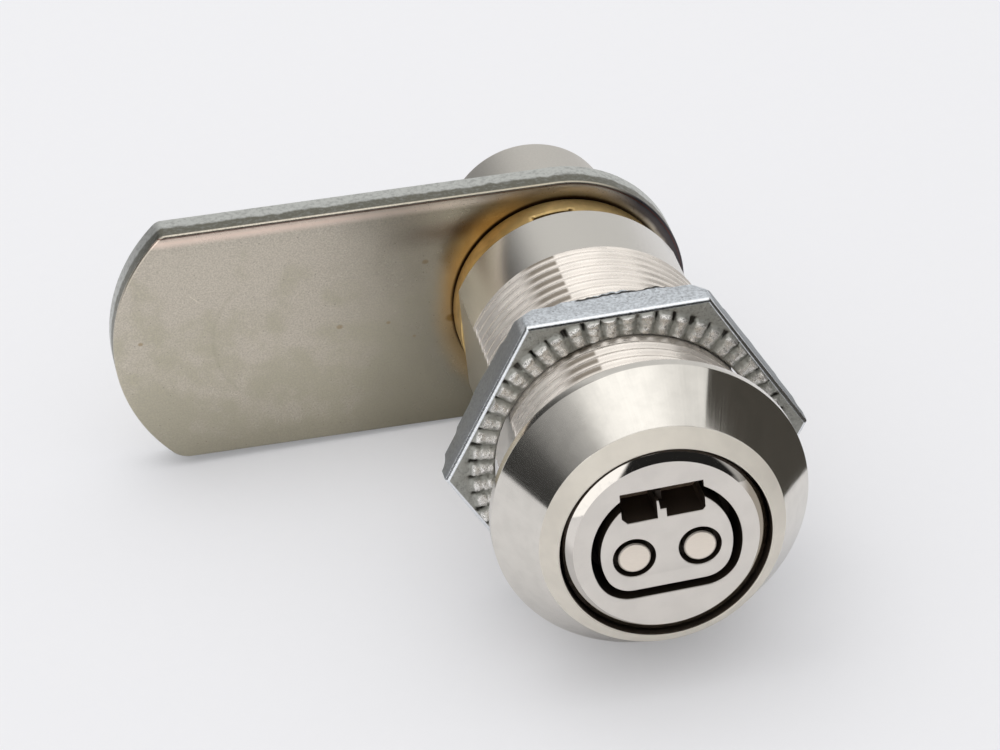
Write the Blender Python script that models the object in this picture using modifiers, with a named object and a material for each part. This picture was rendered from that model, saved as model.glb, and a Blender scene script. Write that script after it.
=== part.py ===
"""Cam lock with a conical head, a threaded double-D body and a swinging cam.

Every piece is drawn with the lock's face in the XY plane, X to the right, Y up and Z towards the key side,
with Z = 0 on the seat behind the flange. The pieces hang on an empty that stands them up, so that the lock's
axis lies along world Y, its face looks to -Y and the key slot is at the top.
The sizes grow outwards from the key profile: pins, groove, rotor, bore, thread, flange and nut.
"""
import math

import bmesh
import bpy
from mathutils import Matrix

MM = 0.001

# Key profile in the rotor's face
FACE_PIN_R = 1.18 * MM
FACE_PIN_RING = 0.35 * MM
FACE_PIN_RING_DEPTH = 1.0 * MM
FACE_PIN_X = 2.34 * MM
FACE_PIN_DROP = 0.68 * MM
FACE_PIN_LEN = 7.4 * MM
FACE_PIN_SEAT = 0.08 * MM
ISLAND_WALL = 0.84 * MM
GROOVE_W = 0.66 * MM
GROOVE_DEPTH = 4.0 * MM
GROOVE_DROP = 0.40 * MM
GROOVE_CORNER_R = 2.32 * MM
GROOVE_CORNER_DEG = 21.0
GROOVE_RUN_IN = 0.20 * MM
SLOT_HALF_W = 2.95 * MM
SLOT_FLOOR_Y = 2.20 * MM
SLOT_H = 2.42 * MM
SLOT_DEPTH = 3.3 * MM
TAB_W = 0.66 * MM
TAB_SHIFT = 0.11 * MM
TAB_H = 0.70 * MM
TAB_STEP_H = 0.80 * MM
TAB_STEP_DEPTH = 0.9 * MM

# Rotor with its head and spindle
ROTOR_WALL = 1.23 * MM
ROTOR_LEN = 14.8 * MM
HEAD_STEP = 0.73 * MM
HEAD_LEN = 4.2 * MM
HEAD_EDGE_W = 0.70 * MM
HEAD_EDGE_D = 0.46 * MM
FACE_PROUD = 0.04 * MM
SPINDLE_R = 2.7 * MM
SPINDLE_FLAT = 0.70 * MM
SPINDLE_NOSE = 0.4 * MM

# Clearances
RUN_GAP = 0.15 * MM
MOUTH_GAP = 0.19 * MM
SEAT_GAP = 0.10 * MM
STACK_GAP = 0.06 * MM
DRIVE_GAP = 0.15 * MM
SHEAR_GAP = 0.03 * MM

# Housing
BODY_WALL = 2.75 * MM
FLAT_WALL = 1.45 * MM
THREAD_LEN = 20.3 * MM
THREAD_PITCH = 1.02 * MM
THREAD_DEPTH = 0.50 * MM
THREAD_CREST = 0.36 * MM
COLLAR_STEP = 0.34 * MM
COLLAR_LEN = 5.85 * MM
COLLAR_EDGE = 0.15 * MM
FLANGE_LIP = 1.90 * MM
FLANGE_LAND = 0.75 * MM
FLANGE_EDGE = 0.12 * MM
CONE_LEN = 3.90 * MM
RIM_W = 1.13 * MM
RIM_DEPTH = 1.10 * MM
MOUTH_BEVEL = 0.15 * MM

# Stator, its cross pin and the rear stop
CROSS_PIN_R = 1.0 * MM
CROSS_PIN_LEN = 5.0 * MM
CROSS_PIN_SUNK = 0.25 * MM
CROSS_PIN_INSET = 1.9 * MM
CROSS_PIN_GAP = 0.08 * MM
STATOR_END_WALL = 0.6 * MM
STOP_CLEAR_DEG = 4.0

# Tumblers, with one bitting step for each place round the keyway, clockwise from the upper left
TUMBLER_R = 0.60 * MM
TUMBLER_GAP = 0.09 * MM
TUMBLER_NOSE = 0.25 * MM
TUMBLER_NOSE_R = 0.35 * MM
TUMBLER_UPPER_DEG = 30.0
TUMBLER_SIDE_DEG = -15.0
TUMBLER_BOTTOM_X = 1.96 * MM
KEYWAY_BREAK = 0.3 * MM
BIT_STEP = 0.4 * MM
BITTING = (2, 4, 3, 5, 4, 2)
DRIVER_LEN = 3.0 * MM
DRIVER_HOLE = 9.4 * MM
SPRING_WIRE_R = 0.08 * MM
SPRING_PLAY = 0.03 * MM
SPRING_TURNS = 5

# Drive collar and cam
RING_STEP = 0.81 * MM
RING_LEN = 3.30 * MM
RING_EDGE = 0.15 * MM
NOTCH_W = 2.93 * MM
NOTCH_LEN = 1.65 * MM
NOTCH_DEPTH = 1.6 * MM
NOTCH_DEG = 94.9
LUG_DEG = 50.0
LUG_WALL = 0.35 * MM
BOSS_HALF = 4.0 * MM
ROOT_DEPTH = 1.1 * MM
CAM_PLAY_DEG = 2.8
CAM_SWING_DEG = 90.0
CAM_HALF_W = 9.6 * MM
CAM_TIP_R = 12.85 * MM
CAM_TIP_X = 21.2 * MM
CAM_CORNER_R = 0.9 * MM
CAM_T = 2.8 * MM
CAM_EDGE = 0.8 * MM

# Washers and cap nut
WASHER_RIM = 3.35 * MM
WASHER_T = 1.0 * MM
LOCK_WASHER_RIM = 1.8 * MM
LOCK_WASHER_T = 1.3 * MM
LOCK_WASHER_CUT = 0.8 * MM
CAP_WALL = 3.53 * MM
CAP_LEN = 7.6 * MM
CAP_END = 1.6 * MM
CAP_EDGE = 0.36 * MM
CAP_SLOT_W = 1.6 * MM
CAP_SLOT_DEPTH = 1.0 * MM

# Lock nut
NUT_CLEAR = 0.12 * MM
NUT_WALL = 1.85 * MM
NUT_T = 2.95 * MM
NUT_STAND = 6.60 * MM
NUT_CORNER_CUT = 0.5 * MM
NUT_CHAMFER_LEN = 0.9 * MM
NUT_TURN_DEG = -1.6
TOOTH_COUNT = 52
TOOTH_RISE = 0.30 * MM
TOOTH_DEPTH = 0.26 * MM
TOOTH_MARGIN = 0.22 * MM
TOOTH_FILL = 0.84

# Facets
ROUND_STEPS = 64
SMALL_STEPS = 32
PIN_STEPS = 12
SPRING_STEPS = 8
CORNER_STEPS = 6
MERGE = 0.00001
SHARP_DEG = 32.0

# Radii and half widths that follow from the sizes above
face_hole_r = FACE_PIN_R + FACE_PIN_RING
groove_r = FACE_PIN_X + face_hole_r + ISLAND_WALL + GROOVE_W
groove_mid_r = groove_r - GROOVE_W / 2
rotor_r = groove_r + ROTOR_WALL
head_r = rotor_r + HEAD_STEP
bore_r = rotor_r + RUN_GAP
mouth_r = head_r + MOUTH_GAP
thread_r = bore_r + BODY_WALL
flat_x = bore_r + FLAT_WALL
collar_r = thread_r - COLLAR_STEP
flange_r = thread_r + FLANGE_LIP
rim_r = mouth_r + MOUTH_BEVEL + RIM_W
spindle_hole_r = SPINDLE_R + RUN_GAP
spindle_flat_y = SPINDLE_R - SPINDLE_FLAT
tumbler_hole_r = TUMBLER_R + TUMBLER_GAP
ring_r = collar_r - RING_STEP
cap_r = spindle_hole_r + CAP_WALL
nut_hole_r = thread_r + NUT_CLEAR
nut_half = nut_hole_r + NUT_WALL
nut_corner_r = nut_half / math.cos(math.radians(30))

# Stations along the axis, from the face back to the cap nut
face_z = FLANGE_LAND + CONE_LEN + RIM_DEPTH
rotor_face_z = face_z + FACE_PROUD
head_back_z = rotor_face_z - HEAD_LEN
groove_floor_z = rotor_face_z - GROOVE_DEPTH
tumbler_top_z = groove_floor_z + KEYWAY_BREAK
shear_z = rotor_face_z - ROTOR_LEN
stator_z = shear_z - RUN_GAP
driver_floor_z = stator_z - DRIVER_HOLE
cross_pin_z = -(THREAD_LEN + CROSS_PIN_INSET)
stop_z = cross_pin_z - CROSS_PIN_R - STATOR_END_WALL
body_back_z = -(THREAD_LEN + COLLAR_LEN)
ring_z = body_back_z - SEAT_GAP
ring_back_z = ring_z - RING_LEN
cam_z = ring_back_z - STACK_GAP
cam_back_z = cam_z - CAM_T
washer_z = cam_back_z - STACK_GAP
lock_washer_z = washer_z - WASHER_T - STACK_GAP
cap_z = lock_washer_z - LOCK_WASHER_T - STACK_GAP
cap_back_z = cap_z - CAP_LEN
cap_floor_z = cap_back_z + CAP_END
nut_z = -NUT_STAND

# Finishes: base colour, roughness and metallic value
FINISHES = {
    "satin_nickel": ((0.66, 0.63, 0.59, 1.0), 0.40, 1.0),
    "plug_nickel": ((0.72, 0.70, 0.68, 1.0), 0.34, 1.0),
    "blue_zinc": ((0.58, 0.61, 0.65, 1.0), 0.42, 1.0),
    "cam_zinc": ((0.60, 0.57, 0.51, 1.0), 0.45, 1.0),
    "brass": ((0.70, 0.50, 0.22, 1.0), 0.35, 1.0),
    "bare_steel": ((0.55, 0.55, 0.54, 1.0), 0.35, 1.0),
    "hard_pin": ((0.78, 0.73, 0.68, 1.0), 0.40, 1.0),
    "spring_steel": ((0.40, 0.40, 0.41, 1.0), 0.30, 1.0),
}


def collection(name):
    made = bpy.data.collections.new(name)
    bpy.context.scene.collection.children.link(made)
    return made


def axis_empty(name, parent=None):
    """An empty that carries the pieces of one moving or fixed group."""
    empty = bpy.data.objects.new(name, None)
    empty.empty_display_size = 5 * MM
    empty.parent = parent
    parts.objects.link(empty)
    return empty


def material(name):
    """Return the finish's material, made the first time that it is asked for."""
    made = bpy.data.materials.get(name)
    if made:
        return made
    colour, roughness, metallic = FINISHES[name]
    made = bpy.data.materials.new(name)
    made.use_nodes = True
    made.diffuse_color = colour
    shader = made.node_tree.nodes["Principled BSDF"]
    shader.inputs["Base Color"].default_value = colour
    shader.inputs["Roughness"].default_value = roughness
    shader.inputs["Metallic"].default_value = metallic
    return made


def arc(centre_x, centre_y, radius, start_deg, end_deg, steps):
    """Points along an arc, both ends included."""
    points = []
    for step in range(steps + 1):
        angle = math.radians(start_deg + (end_deg - start_deg) * step / steps)
        points.append((centre_x + radius * math.cos(angle), centre_y + radius * math.sin(angle)))
    return points


def circle(radius, steps):
    return arc(0, 0, radius, 0, 360 * (steps - 1) / steps, steps - 1)


def box_outline(x_low, x_high, y_low, y_high):
    return [(x_low, y_low), (x_high, y_low), (x_high, y_high), (x_low, y_high)]


def sector_outline(inner, outer, start_deg, end_deg):
    steps = max(4, round((end_deg - start_deg) / 8))
    return arc(0, 0, outer, start_deg, end_deg, steps) + arc(0, 0, inner, end_deg, start_deg, steps)


def double_d(radius, flat_y):
    """A circle with its top and bottom cut flat."""
    half = math.degrees(math.asin(flat_y / radius))
    return arc(0, 0, radius, -half, half, 8) + arc(0, 0, radius, 180 - half, 180 + half, 8)


def add_object(name, data):
    solid = bpy.data.objects.new(name, data)
    parts.objects.link(solid)
    return solid


def meshed(drawn):
    """Replace a curve or a turned profile by the closed mesh that it shows."""
    bpy.context.view_layer.update()
    shown = drawn.evaluated_get(bpy.context.evaluated_depsgraph_get())
    mesh = bpy.data.meshes.new_from_object(shown)
    shape = bmesh.new()
    shape.from_mesh(mesh)
    bmesh.ops.remove_doubles(shape, verts=shape.verts, dist=MERGE)
    bmesh.ops.recalc_face_normals(shape, faces=shape.faces)
    shape.to_mesh(mesh)
    shape.free()
    mesh.shade_smooth()
    mesh.set_sharp_from_angle(angle=math.radians(SHARP_DEG))
    name = drawn.name
    place = drawn.matrix_world.copy()
    bpy.data.objects.remove(drawn, do_unlink=True)
    solid = add_object(name, mesh)
    solid.matrix_world = place
    return solid


def turned(name, profile, steps=ROUND_STEPS):
    """Turn a profile of (radius, z) points about the axis; it runs down the outer side first."""
    count = len(profile)
    edges = [(index, index + 1) for index in range(count - 1)]
    if profile[0][0] > 0:
        edges.append((count - 1, 0))
    mesh = bpy.data.meshes.new(name)
    mesh.from_pydata([(radius, 0, z) for radius, z in profile], edges, [])
    drawn = add_object(name, mesh)
    screw = drawn.modifiers.new("turn", "SCREW")
    screw.steps = steps
    screw.render_steps = steps
    screw.use_merge_vertices = True
    screw.merge_threshold = MERGE
    return meshed(drawn)


def plate(name, outlines, z_low, z_high):
    """A flat piece from one outline and its holes, between two heights."""
    curve = bpy.data.curves.new(name, "CURVE")
    curve.dimensions = "2D"
    curve.fill_mode = "BOTH"
    curve.extrude = (z_high - z_low) / 2
    for outline in outlines:
        spline = curve.splines.new("POLY")
        spline.points.add(len(outline) - 1)
        for point, (x, y) in zip(spline.points, outline):
            point.co = (x, y, 0, 1)
        spline.use_cyclic_u = True
    drawn = add_object(name, curve)
    drawn.location.z = (z_low + z_high) / 2
    return meshed(drawn)


def pegs(name, centres, radius, z_low, z_high, sides=PIN_STEPS):
    """Upright cylinders in one mesh."""
    shape = bmesh.new()
    for x, y in centres:
        middle = Matrix.Translation((x, y, (z_low + z_high) / 2))
        bmesh.ops.create_cone(shape, cap_ends=True, segments=sides, radius1=radius, radius2=radius,
                              depth=z_high - z_low, matrix=middle)
    mesh = bpy.data.meshes.new(name)
    shape.to_mesh(mesh)
    shape.free()
    mesh.shade_smooth()
    mesh.set_sharp_from_angle(angle=math.radians(SHARP_DEG))
    return add_object(name, mesh)


def combine(solid, tool, operation):
    """Add a Boolean to a solid and put its tool out of sight in the cutters' collection."""
    tool.parent = solid.parent
    tool.hide_render = True
    tool.display_type = "WIRE"
    parts.objects.unlink(tool)
    cutters.objects.link(tool)
    step = solid.modifiers.new(tool.name, "BOOLEAN")
    step.operation = operation
    step.object = tool


def cut(solid, tool):
    combine(solid, tool, "DIFFERENCE")


def join(solid, tool):
    combine(solid, tool, "UNION")


def finish(solid, name):
    solid.data.materials.clear()
    solid.data.materials.append(material(name))


def round_front_edge(solid, front_z, clear_x, clear_y, width, segments):
    """Round the front edge of a plate's outline, and leave the edges of its hole sharp."""
    shape = bmesh.new()
    shape.from_mesh(solid.data)
    level = front_z - solid.location.z
    rim = []
    for edge in shape.edges:
        on_front = all(abs(vert.co.z - level) < MERGE for vert in edge.verts)
        outside = all(abs(vert.co.x) > clear_x or abs(vert.co.y) > clear_y for vert in edge.verts)
        if on_front and outside and edge.calc_face_angle(0) > 1:
            rim.append(edge)
    bmesh.ops.bevel(shape, geom=rim, offset=width, segments=segments, profile=0.5, affect="EDGES")
    shape.to_mesh(solid.data)
    shape.free()
    solid.data.set_sharp_from_angle(angle=math.radians(SHARP_DEG))


def tumbler_centres():
    """The six tumbler holes on the middle line of the key groove, in step with BITTING."""
    upper_x = groove_mid_r * math.cos(math.radians(TUMBLER_UPPER_DEG))
    upper_y = groove_mid_r * math.sin(math.radians(TUMBLER_UPPER_DEG)) - GROOVE_DROP
    side_x = groove_mid_r * math.cos(math.radians(TUMBLER_SIDE_DEG))
    side_y = groove_mid_r * math.sin(math.radians(TUMBLER_SIDE_DEG)) - GROOVE_DROP
    bottom_y = groove_corner()[1] - GROOVE_CORNER_R
    return [(-upper_x, upper_y), (upper_x, upper_y), (side_x, side_y),
            (TUMBLER_BOTTOM_X, bottom_y), (-TUMBLER_BOTTOM_X, bottom_y), (-side_x, side_y)]


def groove_corner():
    """Centre of the groove's lower right corner, where it leaves the big arc without a kink."""
    reach = groove_mid_r - GROOVE_CORNER_R
    slope = math.radians(GROOVE_CORNER_DEG)
    return reach * math.cos(slope), -GROOVE_DROP - reach * math.sin(slope)


def groove_side(offset):
    """One side of the U-shaped groove, from the slot's right end round to its left end."""
    big_r = groove_mid_r + offset
    small_r = GROOVE_CORNER_R + offset
    corner_x, corner_y = groove_corner()
    end_deg = math.degrees(math.acos((SLOT_HALF_W - GROOVE_RUN_IN) / big_r))
    right = arc(0, -GROOVE_DROP, big_r, end_deg, -GROOVE_CORNER_DEG, 12)
    corner = arc(corner_x, corner_y, small_r, -GROOVE_CORNER_DEG, -90, CORNER_STEPS)
    half = right + corner[1:]
    return half + [(-x, y) for x, y in reversed(half)]


def thread_rings():
    """The body's thread as one V-shaped groove for each turn; it starts with half a crest at the flange."""
    turns = round(THREAD_LEN / THREAD_PITCH - 0.5)
    pitch = THREAD_LEN / (turns + 0.5)
    flank = (pitch - THREAD_CREST) / 2
    rings = [(thread_r, 0), (thread_r, -THREAD_CREST / 2)]
    for turn in range(turns):
        root_z = -pitch * (turn + 0.5)
        rings.append((thread_r - THREAD_DEPTH, root_z))
        rings.append((thread_r, root_z - flank))
        rings.append((thread_r, root_z - flank - THREAD_CREST))
    return rings + [(thread_r - THREAD_DEPTH, -THREAD_LEN)]


def build_housing(frame):
    head_seat_z = head_back_z - SEAT_GAP
    housing = turned("housing", [
        (mouth_r + MOUTH_BEVEL, face_z),
        (rim_r, face_z - RIM_DEPTH),
        (flange_r - FLANGE_EDGE, FLANGE_LAND),
        (flange_r, FLANGE_LAND - FLANGE_EDGE),
        (flange_r, 0),
    ] + thread_rings() + [
        (collar_r, -THREAD_LEN),
        (collar_r, body_back_z + COLLAR_EDGE),
        (collar_r - COLLAR_EDGE, body_back_z),
        (bore_r, body_back_z),
        (bore_r, head_seat_z),
        (mouth_r, head_seat_z),
        (mouth_r, face_z - MOUTH_BEVEL),
    ])
    housing.parent = frame
    far_x = thread_r + FLAT_WALL
    for side, x_low, x_high in (("left", -far_x, -flat_x), ("right", flat_x, far_x)):
        flat = plate("flat_" + side, [box_outline(x_low, x_high, -flange_r, flange_r)],
                     body_back_z - COLLAR_LEN, 0)
        cut(housing, flat)
    hole = pegs("pin_hole_in_body", [(0, 0)], CROSS_PIN_R + CROSS_PIN_GAP, 0, flange_r, 16)
    hole.rotation_euler.x = math.radians(90)
    hole.location.z = cross_pin_z
    cut(housing, hole)
    finish(housing, "satin_nickel")


def build_rotor(turning):
    edge = arc(head_r - HEAD_EDGE_W, 0, HEAD_EDGE_W, 90, 0, 4)
    rounded = [(x, rotor_face_z - HEAD_EDGE_D * (1 - y / HEAD_EDGE_W)) for x, y in edge]
    end_z = cap_floor_z + SPINDLE_NOSE
    rotor = turned("rotor", [(0, rotor_face_z)] + rounded + [
        (head_r, head_back_z),
        (rotor_r, head_back_z),
        (rotor_r, shear_z),
        (SPINDLE_R, shear_z),
        (SPINDLE_R, end_z + SPINDLE_NOSE),
        (SPINDLE_R - SPINDLE_NOSE, end_z),
        (0, end_z),
    ])
    rotor.parent = turning
    above_z = rotor_face_z + HEAD_LEN
    groove = plate("key_groove", [groove_side(GROOVE_W / 2) + groove_side(-GROOVE_W / 2)[::-1]],
                   groove_floor_z, above_z)
    cut(rotor, groove)
    tab_left = -TAB_SHIFT - TAB_W / 2
    tab_right = tab_left + TAB_W
    tab_top = SLOT_FLOOR_Y + TAB_H + TAB_STEP_H
    slot_top = SLOT_FLOOR_Y + SLOT_H
    slot = plate("key_slot", [[
        (-SLOT_HALF_W, SLOT_FLOOR_Y), (tab_left, SLOT_FLOOR_Y), (tab_left, tab_top), (tab_right, tab_top),
        (tab_right, SLOT_FLOOR_Y), (SLOT_HALF_W, SLOT_FLOOR_Y), (SLOT_HALF_W, slot_top),
        (-SLOT_HALF_W, slot_top)]], rotor_face_z - SLOT_DEPTH, above_z)
    cut(rotor, slot)
    step = plate("tab_step", [box_outline(tab_left - TAB_SHIFT, tab_right + TAB_SHIFT, SLOT_FLOOR_Y + TAB_H,
                                          tab_top + TAB_SHIFT)],
                 rotor_face_z - TAB_STEP_DEPTH, above_z)
    cut(rotor, step)
    sides = [(-FACE_PIN_X, -FACE_PIN_DROP), (FACE_PIN_X, -FACE_PIN_DROP)]
    cut(rotor, pegs("pin_rings", sides, face_hole_r, rotor_face_z - FACE_PIN_RING_DEPTH, above_z, 24))
    cut(rotor, pegs("pin_holes", sides, FACE_PIN_R + FACE_PIN_SEAT,
                    rotor_face_z - FACE_PIN_LEN - FACE_PIN_SEAT, above_z, 24))
    cut(rotor, pegs("tumbler_holes", tumbler_centres(), tumbler_hole_r, shear_z - RUN_GAP, tumbler_top_z))
    for side, y_low, y_high in (("upper", spindle_flat_y, rotor_r), ("lower", -rotor_r, -spindle_flat_y)):
        cut(rotor, plate("spindle_flat_" + side, [box_outline(-rotor_r, rotor_r, y_low, y_high)],
                         cap_back_z - CAP_LEN, stop_z))
    finish(rotor, "plug_nickel")


def build_face_pins(turning):
    for name, x in (("face_pin_left", -FACE_PIN_X), ("face_pin_right", FACE_PIN_X)):
        pin = pegs(name, [(0, 0)], FACE_PIN_R, -FACE_PIN_LEN, 0, 24)
        pin.parent = turning
        pin.location = (x, -FACE_PIN_DROP, rotor_face_z)
        finish(pin, "hard_pin")


def build_stator(frame):
    """The fixed barrel behind the rotor, whose rear end is milled away where the drive lug swings."""
    back_z = ring_z + DRIVE_GAP
    stator_r = bore_r - RUN_GAP
    stator = turned("stator", [(stator_r, stator_z), (stator_r, back_z),
                               (spindle_hole_r, back_z), (spindle_hole_r, stator_z)])
    stator.parent = frame
    cut(stator, pegs("driver_holes", tumbler_centres(), tumbler_hole_r, driver_floor_z, shear_z + RUN_GAP))
    lug_deg = 180 - CAM_PLAY_DEG
    window = sector_outline(SPINDLE_R, thread_r, lug_deg - LUG_DEG / 2 - CAM_SWING_DEG - STOP_CLEAR_DEG,
                            lug_deg + LUG_DEG / 2 + STOP_CLEAR_DEG)
    cut(stator, plate("lug_window", [window], body_back_z - COLLAR_LEN, stop_z))
    pin_outer = collar_r - CROSS_PIN_SUNK
    hole_inner = pin_outer - CROSS_PIN_LEN - CROSS_PIN_GAP
    hole = pegs("pin_hole_in_stator", [(0, 0)], CROSS_PIN_R + CROSS_PIN_GAP, hole_inner, flange_r, 16)
    hole.rotation_euler.x = math.radians(90)
    hole.location.z = cross_pin_z
    cut(stator, hole)
    finish(stator, "brass")
    pin = pegs("stator_pin", [(0, 0)], CROSS_PIN_R, -CROSS_PIN_LEN, 0, 16)
    pin.parent = frame
    pin.rotation_euler.x = math.radians(90)
    pin.location = (0, -pin_outer, cross_pin_z)
    finish(pin, "bare_steel")


def build_tumblers(turning, frame):
    """Six tumblers with their ends at the shear plane, each with its driver and spring behind it."""
    coil_r = TUMBLER_R - SPRING_WIRE_R
    for number, ((x, y), bits) in enumerate(zip(tumbler_centres(), BITTING), start=1):
        length = tumbler_top_z - bits * BIT_STEP - shear_z - SHEAR_GAP
        tumbler = turned("tumbler_pin_%d" % number, [
            (0, length), (TUMBLER_NOSE_R, length), (TUMBLER_R, length - TUMBLER_NOSE), (TUMBLER_R, 0), (0, 0)],
            PIN_STEPS)
        tumbler.parent = turning
        tumbler.location = (x, y, shear_z + SHEAR_GAP)
        finish(tumbler, "brass")
        driver = pegs("driver_pin_%d" % number, [(0, 0)], TUMBLER_R, -DRIVER_LEN, 0)
        driver.parent = frame
        driver.location = (x, y, shear_z - SHEAR_GAP)
        finish(driver, "bare_steel")
        spring_top = shear_z - SHEAR_GAP - DRIVER_LEN - SPRING_PLAY - SPRING_WIRE_R
        spring_len = spring_top - driver_floor_z - SPRING_PLAY - SPRING_WIRE_R
        spring = coil("tumbler_spring_%d" % number, coil_r, spring_len)
        spring.parent = frame
        spring.location = (x, y, spring_top)
        finish(spring, "spring_steel")


def coil(name, radius, length):
    """A round-wire spring that hangs down from its own origin."""
    curve = bpy.data.curves.new(name, "CURVE")
    curve.dimensions = "3D"
    curve.bevel_depth = SPRING_WIRE_R
    curve.bevel_resolution = 1
    curve.use_fill_caps = True
    count = SPRING_TURNS * SPRING_STEPS
    spline = curve.splines.new("POLY")
    spline.points.add(count)
    for index, point in enumerate(spline.points):
        angle = 2 * math.pi * index / SPRING_STEPS
        point.co = (radius * math.cos(angle), radius * math.sin(angle), -length * index / count, 1)
    return meshed(add_object(name, curve))


def build_drive_collar(turning):
    """Brass ring with a notch, a stop lug that reaches into the body and a square boss for the cam."""
    collar = turned("drive_collar", [
        (0, ring_z), (ring_r - RING_EDGE, ring_z), (ring_r, ring_z - RING_EDGE),
        (ring_r, ring_back_z + RING_EDGE), (ring_r - RING_EDGE, ring_back_z), (0, ring_back_z)])
    collar.parent = turning
    lug = sector_outline(spindle_hole_r + LUG_WALL, bore_r - LUG_WALL, 180 - LUG_DEG / 2, 180 + LUG_DEG / 2)
    join(collar, plate("stop_lug", [lug], ring_z - ROOT_DEPTH, stop_z - DRIVE_GAP))
    boss = box_outline(-BOSS_HALF, BOSS_HALF, -BOSS_HALF, BOSS_HALF)
    join(collar, plate("square_boss", [boss], cam_back_z + DRIVE_GAP, ring_back_z + ROOT_DEPTH))
    hole = double_d(spindle_hole_r, spindle_flat_y + DRIVE_GAP)
    cut(collar, plate("spindle_hole", [hole], cam_back_z - CAM_T, stop_z + CAM_T))
    notch = box_outline(ring_r - NOTCH_DEPTH, ring_r + NOTCH_DEPTH, -NOTCH_W / 2, NOTCH_W / 2)
    notch_tool = plate("collar_notch", [notch], ring_z - NOTCH_LEN, ring_z + NOTCH_LEN)
    notch_tool.rotation_euler.z = math.radians(NOTCH_DEG)
    cut(collar, notch_tool)
    finish(collar, "brass")


def cam_outline():
    """Round hub, straight sides, a wide arc at the tip and small corner radii, pointing along +X."""
    inner_r = CAM_TIP_R - CAM_CORNER_R
    side_y = CAM_HALF_W - CAM_CORNER_R
    corner_deg = math.degrees(math.asin(side_y / inner_r))
    corner_x = CAM_TIP_X + inner_r * math.cos(math.radians(corner_deg))
    hub = arc(0, 0, CAM_HALF_W, 90, 270, 28)
    lower = arc(corner_x, -side_y, CAM_CORNER_R, -90, -corner_deg, 4)
    tip = arc(CAM_TIP_X, 0, CAM_TIP_R, -corner_deg, corner_deg, 16)
    upper = arc(corner_x, side_y, CAM_CORNER_R, corner_deg, 90, 4)
    return hub + lower + tip[1:-1] + upper


def build_cam(turning):
    hole = BOSS_HALF + DRIVE_GAP
    cam = plate("cam", [cam_outline(), box_outline(-hole, hole, -hole, hole)], cam_back_z, cam_z)
    round_front_edge(cam, cam_z, hole + DRIVE_GAP, hole + DRIVE_GAP, CAM_EDGE, 4)
    cam.parent = turning
    cam.rotation_euler.z = math.pi
    finish(cam, "cam_zinc")


def build_washers_and_cap(turning):
    washer = turned("flat_washer", [
        (spindle_hole_r + WASHER_RIM, washer_z), (spindle_hole_r + WASHER_RIM, washer_z - WASHER_T),
        (spindle_hole_r, washer_z - WASHER_T), (spindle_hole_r, washer_z)], SMALL_STEPS)
    washer.parent = turning
    finish(washer, "blue_zinc")
    outer_r = spindle_hole_r + LOCK_WASHER_RIM
    split = turned("lock_washer", [
        (outer_r, lock_washer_z), (outer_r, lock_washer_z - LOCK_WASHER_T),
        (spindle_hole_r, lock_washer_z - LOCK_WASHER_T), (spindle_hole_r, lock_washer_z)], SMALL_STEPS)
    split.parent = turning
    gap = box_outline(0, cap_r, -LOCK_WASHER_CUT / 2, LOCK_WASHER_CUT / 2)
    cut(split, plate("washer_split", [gap], cap_back_z, cam_back_z))
    finish(split, "spring_steel")
    cap = turned("cap_nut", [
        (0, cap_z), (cap_r, cap_z), (cap_r, cap_back_z + CAP_EDGE), (cap_r - CAP_EDGE, cap_back_z),
        (0, cap_back_z)])
    cap.parent = turning
    cut(cap, pegs("cap_bore", [(0, 0)], spindle_hole_r, cap_floor_z, cap_z + CAP_LEN, SMALL_STEPS))
    slot = box_outline(-cap_r - CAP_EDGE, cap_r + CAP_EDGE, -CAP_SLOT_W / 2, CAP_SLOT_W / 2)
    cut(cap, plate("driver_slot", [slot], cap_back_z - CAP_LEN, cap_back_z + CAP_SLOT_DEPTH))
    finish(cap, "satin_nickel")


def build_lock_nut(nut_axis):
    """Hexagon cut from a turned blank that has the ring of teeth in front and a chamfer behind."""
    back_z = nut_z - NUT_T
    tooth_z = nut_z + TOOTH_RISE
    tooth_r = nut_half - TOOTH_MARGIN
    blank_r = nut_corner_r + NUT_CORNER_CUT
    nut = turned("lock_nut", [
        (tooth_r, tooth_z), (tooth_r, nut_z), (blank_r, nut_z), (blank_r, back_z + NUT_CHAMFER_LEN),
        (nut_half, back_z), (nut_hole_r, back_z), (nut_hole_r, tooth_z)], TOOTH_COUNT)
    nut.parent = nut_axis
    nut.rotation_euler.z = math.radians(NUT_TURN_DEG)
    prism = plate("hexagon", [circle(nut_corner_r, 6)], back_z - NUT_T, tooth_z + NUT_T)
    prism.rotation_euler.z = math.radians(NUT_TURN_DEG)
    combine(nut, prism, "INTERSECT")
    cut(nut, tooth_grooves(tooth_z))
    finish(nut, "blue_zinc")


def tooth_grooves(tooth_z):
    """Flattened four-sided bars, one for each groove, that widen outwards with the pitch."""
    inner = nut_hole_r - NUT_CLEAR
    outer = nut_half
    half_pitch = math.pi / TOOTH_COUNT * TOOTH_FILL
    flatten = TOOTH_DEPTH / (outer * half_pitch)
    shape = bmesh.new()
    for number in range(TOOTH_COUNT):
        spin = Matrix.Rotation(2 * math.pi * (number + 0.5) / TOOTH_COUNT, 4, "Z")
        along = Matrix.Translation(((inner + outer) / 2, 0, tooth_z)) @ Matrix.Rotation(math.pi / 2, 4, "Y")
        flat = Matrix.Diagonal((flatten, 1, 1, 1))
        bmesh.ops.create_cone(shape, cap_ends=True, segments=4, radius1=inner * half_pitch,
                              radius2=outer * half_pitch, depth=outer - inner, matrix=spin @ along @ flat)
    mesh = bpy.data.meshes.new("tooth_grooves")
    shape.to_mesh(mesh)
    shape.free()
    tool = add_object("tooth_grooves", mesh)
    tool.rotation_euler.z = math.radians(NUT_TURN_DEG)
    return tool


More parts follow.
